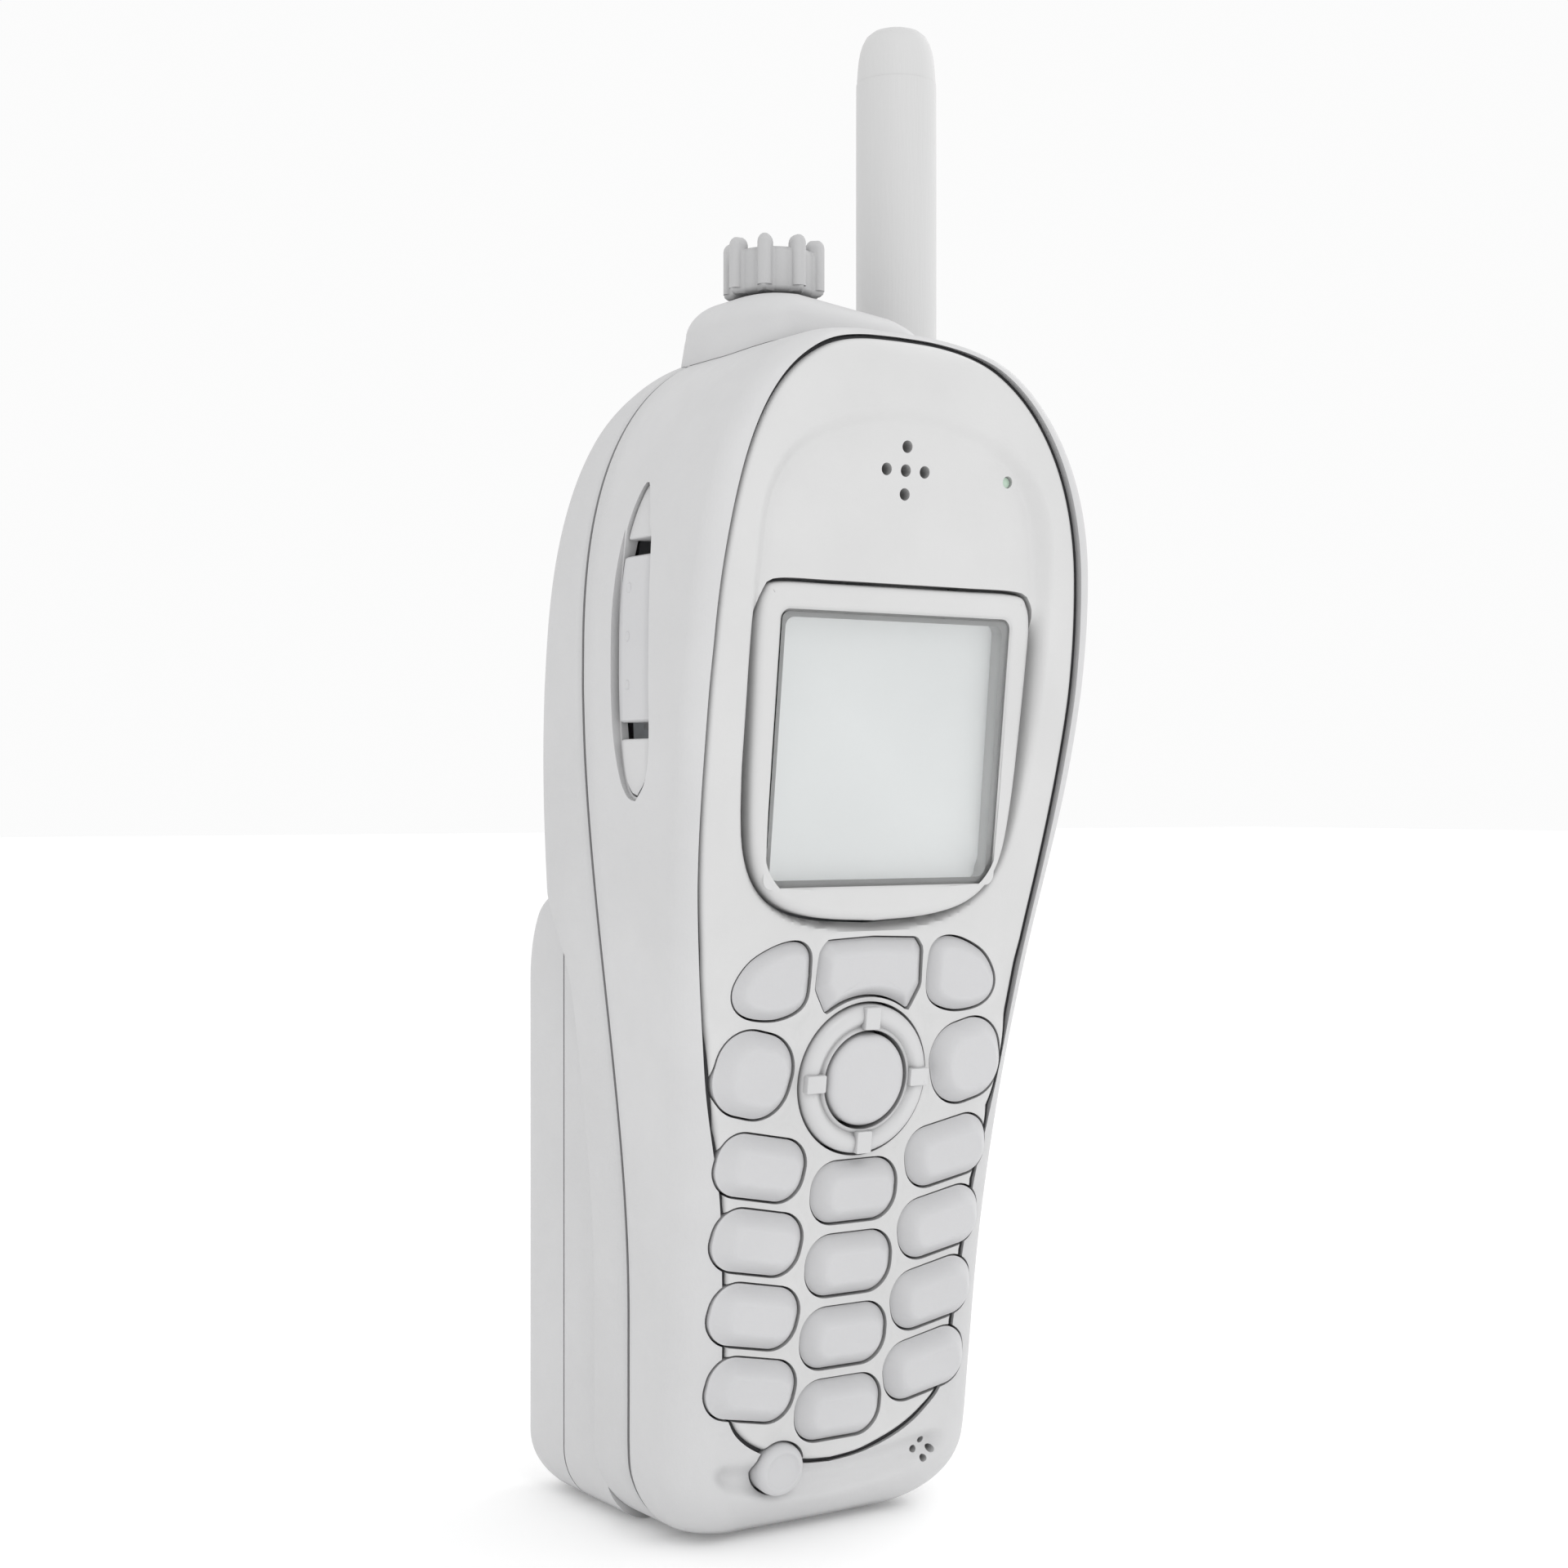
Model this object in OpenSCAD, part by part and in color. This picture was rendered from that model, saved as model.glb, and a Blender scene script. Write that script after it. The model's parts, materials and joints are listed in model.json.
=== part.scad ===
// Satellite phone: two housings, a faceplate with its keypad, a display, a volume
// knob, a push-to-talk key, a sliding antenna and a removable battery pack.
// The phone stands on its base at z = 0, its face looks along -Y, units are mm.

/* [Housing] */
// Height of the two housings
body_h = 155.5; // [150:0.5:160]
// Largest half width, beside the display
half_w = 30.8; // [28:0.1:33]
// Half width near the base
base_half_w = 24.1; // [22:0.1:26]
// Depth of the parting plane behind the frame origin
seam_y = -1.84; // [-4:0.02:2]
// Outer wall of both housings
wall = 2; // [1.5:0.1:3]
// Back of the upper rear housing at its foot, behind the parting plane
rear_foot = 18; // [15:0.5:20]
// Back of the upper rear housing at its shoulder
rear_top = 12.6; // [10:0.1:15]
// Depth of the rear housing under the battery pack
pack_face = 8.5; // [7:0.1:10]

/* [Face] */
// Depth of the face in front of the parting plane at the base
face_foot = 10.5; // [9:0.1:12]
// Extra depth per mm of height
face_slope = 0.125; // [0.1:0.005:0.15]
// Thickness of the faceplate over the keypad
plate_t = 1.8; // [1.5:0.1:2.5]
// Clearance around every key
key_gap = 0.3; // [0.2:0.05:0.5]

/* [Keys] */
// Width of a number key
key_w = 13.2; // [11:0.1:14]
// Height of a number key
key_h = 8; // [6:0.1:9]
// Spacing of the key rows
key_pitch = 9.55; // [9:0.05:10]
// Distance of the outer columns from the middle
key_x = 14.6; // [13:0.1:16]
// How far a key stands out of the face
key_out = 2.2; // [1:0.1:3]
// Outer diameter of the navigation ring
nav_d = 19.4; // [18:0.1:21]

/* [Display] */
// Width of the display window
glass_w = 35.2; // [30:0.1:40]
// Height of the display window
glass_h = 33.8; // [30:0.1:38]

/* [Antenna] */
// Diameter of the antenna
antenna_d = 11.2; // [9:0.1:13]
// Height of the antenna tip
antenna_top = 203.5; // [190:0.5:215]
// Distance of the antenna from the middle
antenna_x = 20.5; // [18:0.5:22]

/* [Knob] */
// Diameter of the knob over its ribs
knob_d = 13.6; // [12:0.1:15]
// Position of the knob across the phone
knob_x = -5; // [-8:0.5:0]

/* [Battery] */
// Half width of the battery pack
pack_half_w = 22.5; // [20:0.5:24]
// Back of the battery pack behind the parting plane
pack_back = 33.5; // [28:0.5:36]
// Height of the battery pack
pack_h = 84; // [80:0.5:90]

/* [Hidden] */
$fn = 48;
lean = atan(face_slope);
knob_y = seam_y - 5.5;
antenna_y = seam_y + 2;
turret_top = 161.4;
bezel_lean = 6.75;

// Smooth step from 0 to 1
function smooth(t) = let (u = min(1, max(0, t))) u * u * (3 - 2 * u);

// Depth of the face in front of the parting plane at height z
function face_depth(z) = face_foot + face_slope * z + 3 * smooth((z - 72) / 45)
    - 0.0055 * pow(max(0, z - 125), 2);

// Right half of the housing outline, from the base to the top
function body_right() = concat(
    [for (a = [0:15:75]) [base_half_w - 12 + 12 * sin(a), 12 - 12 * cos(a)]],
    [for (z = [13, 30, 42, 54, 66, 78, 90, 102])
        [base_half_w + (half_w - base_half_w) * smooth((z - 30) / 82), z]],
    [for (a = [0:9:90]) [half_w * pow(cos(a), 2 / 2.6),
        112 + (body_h - 112) * pow(sin(a), 2 / 2.6)]]);

// Right half of the faceplate outline
function plate_right() = concat(
    [[4, 10.6], [8, 11.6], [11, 12.9], [13.6, 14.4], [15.8, 16.6], [17.2, 19.4],
     [17.7, 27], [18.5, 36], [19.6, 46], [21.3, 53.5], [22.5, 60], [23.7, 68],
     [25, 77], [26.4, 87], [27.4, 98]],
    [for (a = [0:9:90]) [27.8 * pow(cos(a), 2 / 2.7),
        108 + 45.6 * pow(sin(a), 2 / 2.7)]]);

// Moves every point of an open chain sideways by d
function inset(p, d) = [for (i = [0:len(p) - 1])
    let (a = p[max(0, i - 1)], b = p[min(len(p) - 1, i + 1)], n = norm(b - a))
    [max(0, p[i][0] - d * (b[1] - a[1]) / n), p[i][1] + d * (b[0] - a[0]) / n]];

// Closes a right half outline with its mirror image
function both(p) = concat(p, [for (i = [len(p) - 1:-1:0]) if (p[i][0] > 0.01)
    [-p[i][0], p[i][1]]]);

// Extrudes a front view shape from depth y0 to y1
module deep(y0, y1) {
    translate([0, seam_y + y1, 0])
        rotate([90, 0, 0])
            linear_extrude(y1 - y0)
                children();
}

// Extrudes a side view shape from x0 to x1
module wide(x0, x1) {
    translate([x0, seam_y, 0])
        rotate([90, 0, 90])
            linear_extrude(x1 - x0)
                children();
}

// Places children on the face, local z points out of the face
module on_face(x, z, h = 0) {
    translate([x, seam_y - face_depth(z), z])
        rotate([90 + lean, 0, 0])
            translate([0, 0, h])
                children();
}

// Places children on the display plane
module on_display(h = 0) {
    translate([0, seam_y - 24.8, 102.25])
        rotate([90 + bezel_lean, 0, 0])
            translate([0, 0, h])
                children();
}

module round_rect(w, h, r) {
    square([w - 2 * r, h], center = true);
    square([w, h - 2 * r], center = true);
    for (x = [-1, 1], y = [-1, 1])
        translate([x * (w / 2 - r), y * (h / 2 - r)])
            circle(r);
}

module outline(d = 0) {
    polygon(both(inset(body_right(), d)));
}

module plate_outline(d = 0) {
    polygon(both(inset(plate_right(), d)));
}

// Side view region between two depths behind the face surface
module band(a, b, z0, z1) {
    zs = [for (i = [0:12]) z0 + (z1 - z0) * i / 12];
    polygon(concat([for (z = zs) [-face_depth(z) + a, z]],
        [for (i = [12:-1:0]) [-face_depth(zs[i]) + b, zs[i]]]));
}

// Side view of the front housing
module front_side(d = 0) {
    top = body_h - d;
    polygon(concat([[-0.4, d], [-3.7, d], [-7, d + 0.8], [-10, d + 3.2],
        [-face_depth(8) + d, 8]],
        [for (z = [16:8:72]) [-face_depth(z) + d, z]],
        [for (z = [78:6:150]) [-face_depth(z) + d, z]],
        [[-26.6 + d, 153.6 - d], [-23, top - 0.6], [-18, top], [-0.4, top]]));
}

// Side view of the rear housing
module rear_side(d = 0) {
    top = body_h - d;
    polygon([[0.4, d], [pack_face - d, d], [pack_face - d, 70 + d],
        [pack_face + 0.6 - d, 74 + d], [pack_face + 2 - d, 78 + d],
        [pack_face + 4 - d, 82 + d], [pack_face + 6 - d, 84.6 + d],
        [rear_foot - d, 84.6 + d], [rear_top - d, 139], [rear_top - 1.2 - d, 145],
        [rear_top - 4 - d, 150 - d * 0.7], [rear_top - 8, top - 1], [2, top], [0.4, top]]);
}

// Outer form of the front housing, moved inward by d
module front_form(d = 0) {
    intersection() {
        deep(-40, 0)
            outline(d);
        wide(-40, 40)
            front_side(d);
    }
}

// Outer form of the rear housing, moved inward by d
module rear_form(d = 0) {
    intersection() {
        deep(0, 30)
            outline(d);
        wide(-40, 40)
            rear_side(d);
    }
}

// Row heights of the side columns and of the middle column
side_z = [for (i = [0:3]) 49.9 - key_pitch * i];
mid_z = [for (i = [0:3]) 45.8 - key_pitch * i];

// Plan of a number key, grown by d
module key_plan(d = 0) {
    round_rect(key_w + 2 * d, key_h + 2 * d, 3.4 + d);
}

// A number key: domed cap, flange under the wall and plunger
module number_key(side, row) {
    x = side * (key_x - 0.3 * row);
    z = side == 0 ? mid_z[row] : side_z[row];
    on_face(x, z)
        rotate([0, 0, side * 11]) {
            intersection() {
                translate([0, 0, -4])
                    linear_extrude(4 + key_out)
                        key_plan(0);
                translate([0, 0, key_out - 15])
                    sphere(15);
            }
            translate([0, 0, -4.5])
                linear_extrude(0.6)
                    round_rect(key_w + 0.8, key_h + 0.8, 3.2);
        }
}

module call_plan(d = 0) {
    round_rect(11.4 + 2 * d, 10.8 + 2 * d, 4.6 + d);
}

// Call and end keys beside the navigation ring
module side_key(side) {
    on_face(side * 16.7, 61.8)
        rotate([0, 0, side * 14]) {
            intersection() {
                translate([0, 0, -4])
                    linear_extrude(4 + key_out)
                        call_plan(0);
                translate([0, 0, key_out - 15])
                    sphere(15);
            }
            translate([0, 0, -4.5])
                linear_extrude(0.6)
                    round_rect(11.8, 11.4, 4.6);
        }
}

// Plan of the three soft keys, which = -1, 0 or 1
module soft_plan(which, d = 0) {
    if (which == 0) {
        difference() {
            polygon([[-7.4 - d, 5 + d], [7.4 + d, 5 + d], [8.3 + d, -0.5],
                [7.2 + d, -3.6 - d], [-7.2 - d, -3.6 - d], [-8.3 - d, -0.5]]);
            translate([0, -13.1])
                circle(10.7 - d);
        }
    }
    if (which != 0) {
        polygon([for (p = [[9.2, 5], [14.5, 4.4], [18.4, 2.4], [20.4, -0.8], [20.3, -2.8],
            [18.4, -4.4], [14.4, -4.8], [10.6, -3.6]])
            let (v = p - [14.6, -0.4]) (p + d * 1.2 * v / norm(v))]);
    }
}

// One soft key under the display
module soft_key(which) {
    mirror([which < 0 ? 1 : 0, 0, 0])
        on_face(0, 73.4, -0.2) {
            intersection() {
                translate([0, 0, -4])
                    linear_extrude(5.6)
                        soft_plan(which, 0);
                translate([which == 0 ? 0 : 14.6, 0.6, -16.4])
                    sphere(18);
            }
            translate([0, 0, -4.5])
                linear_extrude(0.6)
                    soft_plan(which, which == 0 ? 0.1 : 0.45);
        }
}

// All openings for keys through the face
module key_openings() {
    for (row = [0:3]) {
        for (side = [-1, 1])
            on_face(side * (key_x - 0.3 * row), side_z[row], -4)
                rotate([0, 0, side * 11])
                    linear_extrude(14)
                        key_plan(key_gap);
        on_face(0, mid_z[row], -4)
            linear_extrude(14)
                key_plan(key_gap);
    }
    for (side = [-1, 1])
        on_face(side * 16.7, 61.8, -4)
            rotate([0, 0, side * 14])
                linear_extrude(14)
                    call_plan(key_gap);
    for (which = [-1, 0, 1])
        mirror([which < 0 ? 1 : 0, 0, 0])
            on_face(0, 73.4, -4.4)
                linear_extrude(14)
                    soft_plan(which, key_gap);
    on_face(0, 60.4, -4.4)
        cylinder(h = 14, d = nav_d + 0.8);
    on_face(-8.3, 10, -6)
        cylinder(h = 14, d = 7.6);
}

// Smile shaped trough under the keypad
module mic_trough() {
    on_face(0, 9, -0.9)
        linear_extrude(6)
            difference() {
                translate([0, 21])
                    circle(25.4, $fn = 96);
                translate([0, 28])
                    circle(26.4, $fn = 96);
                translate([0, 15.6])
                    square([60, 27], center = true);
            }
}

// Recess shared by the ear rest and the display frame
module ear_dish() {
    intersection() {
        deep(-40, -25.4)
            polygon(both([[0, 79.2], [10, 80], [16, 82.4], [20, 87], [22, 94], [22.6, 105],
                [22.9, 118], [22.7, 129], [21.6, 133.5], [19, 138.2], [15.6, 140.9],
                [12, 142.6], [6, 144.4], [0, 145]]));
        wide(-40, 40)
            polygon([[-40, 79], [-21.4, 79], [-22.6, 88], [-25.6, 110], [-27, 121],
                [-27.7, 136], [-28.6, 145], [-40, 146]]);
    }
}

// Opening of the display frame through the faceplate and the front housing
module display_opening(d = 0) {
    on_display(-10)
        linear_extrude(18)
            round_rect(41.6 + 2 * d, 40.4 + 2 * d, 4);
}

module ear_holes(d) {
    for (p = [[0, 0], [2.95, 0], [-2.95, 0], [0, 2.95], [0, -2.95]])
        translate([p[0], 0, 137.2 + p[1]])
            translate([0, seam_y - 34, 0])
                rotate([-90, 0, 0])
                    cylinder(h = 14, d = d);
}

module mic_holes(d) {
    for (p = [[0, 1.1], [0, -1.1], [1.1, 0], [-1.1, 0]])
        on_face(15.4 + p[0], 8.8 + p[1], -6)
            cylinder(h = 12, d = d);
}

// Leaf shaped outline of the talk key in side view
module leaf(d = 0) {
    polygon([for (p = [[-12.3, 96.4], [-14.6, 98.2], [-16, 102], [-16.3, 110],
        [-16.2, 120], [-15.6, 127], [-14.4, 132], [-12.6, 135.4], [-10.6, 133.4],
        [-9, 129], [-8.1, 122], [-8, 112], [-8.3, 104], [-9.2, 99.6], [-10.6, 97.2]])
        let (v = [p[0] + 12.1, (p[1] - 116) / 4]) (p + d * [v[0], v[1]] / norm(v))]);
}

module antenna_bore(d) {
    translate([antenna_x, antenna_y, 92])
        cylinder(h = 75, d = d);
}

module turret_form(d = 0) {
    intersection() {
        deep(-17 + d, 8 - d)
            polygon([[-15.6 + d, 146], [-14 + d, 157 - d], [-13.1 + d, 158.8 - d],
                [-11.6 + d, 160.3 - d], [-8.8 + d, turret_top - 0.2 - d],
                [2, turret_top - d], [7, 160.8 - d], [11 - d, 160 - d],
                [14.5 - d, 159 - d], [16 - d, 157.4 - d], [17 - d, 146]]);
        wide(-30, 30)
            polygon([[-20.4 + d, 146], [-16 + d, 157.6 - d], [-14.6 + d, 159.4 - d],
                [-11 + d, turret_top - d], [2 - d, turret_top - d], [5.4 - d, 160 - d],
                [7.4 - d, 157 - d], [8 - d, 146]]);
    }
}

module screw_spots() {
    for (x = [-15.5, 15.5], z = [12, 76])
        translate([x, seam_y, z])
            rotate([-90, 0, 0])
                children();
}

module front_housing() {
    color([0.89, 0.89, 0.89])
        difference() {
            front_form(0);
            intersection() {
                front_form(wall);
                wide(-40, 40)
                    union() {
                        band(3.6, 40, 5, 80.5);
                        band(6.6, 40, 80.4, 150);
                    }
            }
            intersection() {
                deep(-40, 0)
                    plate_outline(-0.9);
                wide(-40, 40)
                    union() {
                        band(-5, plate_t + 0.1, 8, 80.5);
                        band(-5, 4.7, 80.4, 156);
                    }
            }
            key_openings();
            display_opening(0.4);
            mic_trough();
            ear_holes(2);
            translate([0, seam_y - 22, 137.2])
                rotate([90, 0, 0])
                    cylinder(h = 2.2, d = 10.6);
            mic_holes(0.9);
            on_face(15.4, 8.8, -6)
                cylinder(h = 4.2, d = 5);
            wide(-40, -20)
                leaf(0);
            antenna_bore(antenna_d + 3.4);
            translate([16.3, seam_y - 34, 136.9])
                rotate([-90, 0, 0])
                    cylinder(h = 14, d = 3.4);
            translate([knob_x, knob_y, 150])
                cylinder(h = 8, d = 9);
        }
}

module rear_housing() {
    color([0.87, 0.87, 0.87])
        difference() {
            union() {
                difference() {
                    rear_form(0);
                    intersection() {
                        rear_form(wall);
                        translate([-40, seam_y - 1, 2])
                            cube([80, 40, 150]);
                    }
                    deep(0, 1)
                        outline(wall);
                }
                screw_spots()
                    translate([0, 0, 4.4])
                        cylinder(h = 3, d = 6.4);
            }
            screw_spots()
                cylinder(h = 12, d = 2.6);
            screw_spots()
                translate([0, 0, 6.8])
                    cylinder(h = 5, d = 4.8);
            antenna_bore(antenna_d + 3.4);
            for (i = [-2:2])
                translate([i * 3 - 0.8, seam_y + 5, 21.4])
                    cube([1.6, 5, 3.2]);
            translate([-6.2, seam_y + 12, 84])
                cube([12.4, 12, 9.4]);
        }
}

module shell_gasket() {
    color([0.12, 0.12, 0.13])
        difference() {
            deep(-0.35, 0.35)
                outline(0.3);
            deep(-1, 1)
                outline(wall - 0.1);
            antenna_bore(antenna_d + 3.4);
        }
}

module faceplate() {
    color([0.91, 0.91, 0.91])
        difference() {
            intersection() {
                deep(-40, 0)
                    plate_outline(0);
                wide(-40, 40)
                    union() {
                        band(0, plate_t, 8, 80.5);
                        band(0, 4.6, 80.4, 156);
                    }
                front_form(0);
            }
            key_openings();
            display_opening(0.3);
            ear_dish();
            mic_trough();
            ear_holes(1.5);
            translate([16.3, seam_y - 34, 136.9])
                rotate([-90, 0, 0])
                    cylinder(h = 14, d = 1.5);
        }
}

module faceplate_gasket() {
    color([0.12, 0.12, 0.13])
        difference() {
            intersection() {
                deep(-40, 0)
                    difference() {
                        plate_outline(-0.8);
                        plate_outline(-0.08);
                    }
                wide(-40, 40)
                    band(0.5, 1.7, 8, 154.2);
                front_form(0.3);
            }
            key_openings();
            mic_trough();
        }
}

module display_bezel() {
    color([0.9, 0.9, 0.9])
        difference() {
            on_display(-3)
                linear_extrude(3)
                    round_rect(41.6, 40.4, 3.2);
            on_display(-0.9)
                linear_extrude(3)
                    round_rect(glass_w + 0.3, glass_h + 0.3, 1.1);
            on_display(-5)
                linear_extrude(6)
                    round_rect(33, 31.6, 1);
        }
}

module display_lens() {
    color([0.8, 0.84, 0.86])
        on_display(-0.85)
            linear_extrude(0.6)
                round_rect(glass_w, glass_h, 1);
}

module display_seal() {
    color([0.12, 0.12, 0.13])
        on_display(-3.9)
            linear_extrude(0.8)
                difference() {
                    round_rect(40, 39, 3);
                    round_rect(36, 34.8, 1);
                }
}

module lcd_module() {
    color([0.72, 0.74, 0.74])
        on_display(-7)
            linear_extrude(3)
                round_rect(37.4, 36.6, 1);
}

module earpiece_speaker() {
    color([0.2, 0.2, 0.22])
        translate([0, seam_y - 21, 137.2])
            rotate([90, 0, 0])
                cylinder(h = 1.6, d = 13);
}

module earpiece_mesh() {
    color([0.15, 0.15, 0.16])
        translate([0, seam_y - 23.7, 137.2])
            rotate([90, 0, 0])
                cylinder(h = 0.3, d = 10);
}

module status_light() {
    color([0.85, 0.87, 0.85])
        translate([16.3, seam_y - 22.3, 136.9])
            rotate([90, 0, 0]) {
                cylinder(h = 5, d = 1.4);
                cylinder(h = 2.2, d = 2.8);
            }
}

module mic_capsule() {
    color([0.6, 0.6, 0.62])
        on_face(15.4, 8.8, -5.2)
            cylinder(h = 1.6, d = 4);
}

module mic_boot() {
    color([0.14, 0.14, 0.15])
        on_face(15.4, 8.8, -5.2)
            difference() {
                cylinder(h = 2.6, d = 4.8);
                translate([0, 0, -1])
                    cylinder(h = 2.7, d = 4.1);
                cylinder(h = 5, d = 2.6);
            }
}

module control_turret() {
    color([0.89, 0.89, 0.89])
        difference() {
            turret_form(0);
            front_form(-0.05);
            rear_form(-0.05);
            deep(-0.5, 0.5)
                outline(-0.05);
            antenna_bore(antenna_d + 3.4);
            translate([knob_x - 6, knob_y - 6, 150])
                cube([12, 12, 9.6]);
            translate([knob_x, knob_y, 150])
                cylinder(h = 20, d = 7.4);
        }
}

module key_1() {
    color([0.86, 0.86, 0.87])
        number_key(-1, 0);
}

module key_2() {
    color([0.86, 0.86, 0.87])
        number_key(0, 0);
}

module key_3() {
    color([0.86, 0.86, 0.87])
        number_key(1, 0);
}

module key_4() {
    color([0.86, 0.86, 0.87])
        number_key(-1, 1);
}

module key_5() {
    color([0.86, 0.86, 0.87])
        number_key(0, 1);
}

module key_6() {
    color([0.86, 0.86, 0.87])
        number_key(1, 1);
}

module key_7() {
    color([0.86, 0.86, 0.87])
        number_key(-1, 2);
}

module key_8() {
    color([0.86, 0.86, 0.87])
        number_key(0, 2);
}

module key_9() {
    color([0.86, 0.86, 0.87])
        number_key(1, 2);
}

module key_star() {
    color([0.86, 0.86, 0.87])
        number_key(-1, 3);
}

module key_0() {
    color([0.86, 0.86, 0.87])
        number_key(0, 3);
}

module key_hash() {
    color([0.86, 0.86, 0.87])
        number_key(1, 3);
}

module soft_key_left() {
    color([0.86, 0.86, 0.87])
        soft_key(-1);
}

module soft_key_center() {
    color([0.86, 0.86, 0.87])
        soft_key(0);
}

module soft_key_right() {
    color([0.86, 0.86, 0.87])
        soft_key(1);
}

module call_key() {
    color([0.86, 0.86, 0.87])
        side_key(-1);
}

module end_key() {
    color([0.86, 0.86, 0.87])
        side_key(1);
}

// Gimbal frame under the ring, rocks up and down on two pins
module nav_gimbal() {
    color([0.7, 0.7, 0.72])
        on_face(0, 60.4, -3.4)
            difference() {
                union() {
                    cylinder(h = 0.8, d = 15.6);
                    translate([-9.8, 0, 0.4])
                        rotate([0, 90, 0])
                            cylinder(h = 19.6, d = 0.7);
                }
                translate([0, 0, -1])
                    cylinder(h = 3, d = 13.2);
            }
}

module nav_ring() {
    color([0.88, 0.88, 0.88])
        on_face(0, 60.4, -2) {
            difference() {
                union() {
                    cylinder(h = 3, d = nav_d);
                    cylinder(h = 3.6, d = 16.4);
                }
                translate([0, 0, -1])
                    cylinder(h = 7, d = 12.8);
            }
            for (a = [0:90:270])
                rotate([0, 0, a])
                    translate([6.6, -1.1, 2])
                        cube([3, 2.2, 2]);
        }
}

module ok_button() {
    color([0.87, 0.87, 0.88])
        on_face(0, 60.4, -4.2) {
            intersection() {
                cylinder(h = 5.8, d = 12);
                translate([0, 0, -14.4])
                    sphere(20);
            }
        }
}

module power_button() {
    color([0.85, 0.85, 0.86])
        on_face(-8.3, 10, -4.2)
            difference() {
                union() {
                    cylinder(h = 5.2, d = 7);
                    cylinder(h = 0.5, d = 7.9);
                }
                translate([0, 0, 4.8])
                    cylinder(h = 1, d = 4.4);
            }
}

module ptt_slice(z0, z1, d) {
    intersection() {
        front_form(d);
        wide(-40, -25.2)
            intersection() {
                leaf(-0.35);
                translate([-30, z0])
                    square([40, z1 - z0]);
            }
    }
}

module ptt_button() {
    color([0.84, 0.84, 0.85]) {
        ptt_slice(106.4, 125.6, 0.5);
        translate([-25.8, seam_y - 17, 105])
            cube([0.6, 9.6, 22]);
        for (z = [110.3, 116.3, 122.3])
            translate([-30.45, seam_y - 10.6, z])
                rotate([0, 90, 0])
                    cylinder(h = 2, d = 1.3);
    }
}

module ptt_trim_upper() {
    color([0.88, 0.88, 0.88])
        ptt_slice(128, 137, 0.5);
}

module ptt_trim_lower() {
    color([0.88, 0.88, 0.88])
        ptt_slice(94, 104, 0.5);
}

module ptt_switch() {
    color([0.3, 0.3, 0.32]) {
        translate([-23.4, seam_y - 15.5, 112])
            cube([2.6, 6.4, 8.4]);
        translate([-24.2, seam_y - 12.3, 116.2])
            rotate([0, 90, 0])
                cylinder(h = 1, d = 3);
    }
}

module volume_knob() {
    color([0.8, 0.8, 0.81])
        translate([knob_x, knob_y, 162])
            difference() {
                union() {
                    cylinder(h = 5.4, d = knob_d - 1.4);
                    for (a = [0:45:315])
                        rotate([0, 0, a])
                            translate([knob_d / 2 - 1, 0, 0])
                                cylinder(h = 6.6, d = 2);
                }
                translate([0, 0, -1])
                    cylinder(h = 5, d = 6);
                translate([0, 0, 4.8])
                    cylinder(h = 3, d = 8);
            }
}

module knob_shaft() {
    color([0.75, 0.75, 0.77])
        translate([knob_x, knob_y, 156.6])
            cylinder(h = 9.4, d = 6);
}

module knob_encoder() {
    color([0.35, 0.36, 0.38])
        translate([knob_x, knob_y, 0])
            difference() {
                union() {
                    translate([-5.9, -5.9, 155.7])
                        cube([11.8, 11.8, 3.6]);
                    translate([0, 0, 155.7])
                        cylinder(h = 6.1, d = 7.2);
                }
                translate([0, 0, 156.5])
                    cylinder(h = 10, d = 6.1);
            }
}

module antenna() {
    color([0.88, 0.88, 0.88])
        translate([antenna_x, antenna_y, 0]) {
            translate([0, 0, 130])
                cylinder(h = antenna_top - 135, d = antenna_d);
            intersection() {
                translate([0, 0, antenna_top - 6])
                    cylinder(h = 6, d = antenna_d);
                translate([0, 0, antenna_top - 7.4])
                    sphere(7.4);
            }
        }
}

module antenna_guide() {
    color([0.3, 0.3, 0.32])
        translate([antenna_x, antenna_y, 97])
            difference() {
                cylinder(h = 53, d = antenna_d + 3);
                translate([0, 0, 2])
                    cylinder(h = 60, d = antenna_d + 0.12);
            }
}

module antenna_contact() {
    color([0.8, 0.68, 0.35])
        translate([antenna_x - 3, antenna_y - 1.5, 95])
            cube([6, 3, 1.9]);
}

module chassis() {
    color([0.55, 0.56, 0.58])
        difference() {
            deep(-2.6, -1.4)
                outline(6);
            translate([antenna_x - 9, antenna_y - 10, 90])
                cube([30, 20, 70]);
            screw_spots()
                translate([0, 0, -6])
                    cylinder(h = 12, d = 1.9);
        }
}

module main_board() {
    color([0.12, 0.38, 0.24])
        difference() {
            deep(1.4, 2.4)
                outline(5.4);
            translate([antenna_x - 9, antenna_y - 10, 90])
                cube([30, 20, 70]);
            screw_spots()
                cylinder(h = 12, d = 3);
        }
}

module shield_cans() {
    color([0.7, 0.71, 0.73]) {
        translate([-17, seam_y + 2.4, 30])
            cube([34, 2.2, 22]);
        translate([-17, seam_y + 2.4, 54])
            cube([16, 2.2, 16]);
        translate([-17, seam_y + 2.4, 96])
            cube([26, 3, 34]);
    }
}

module keypad_board() {
    color([0.1, 0.34, 0.22])
        on_face(0, 42, -8.2)
            translate([0, 1, 0])
                linear_extrude(1)
                    round_rect(40, 68, 4);
}

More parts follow.
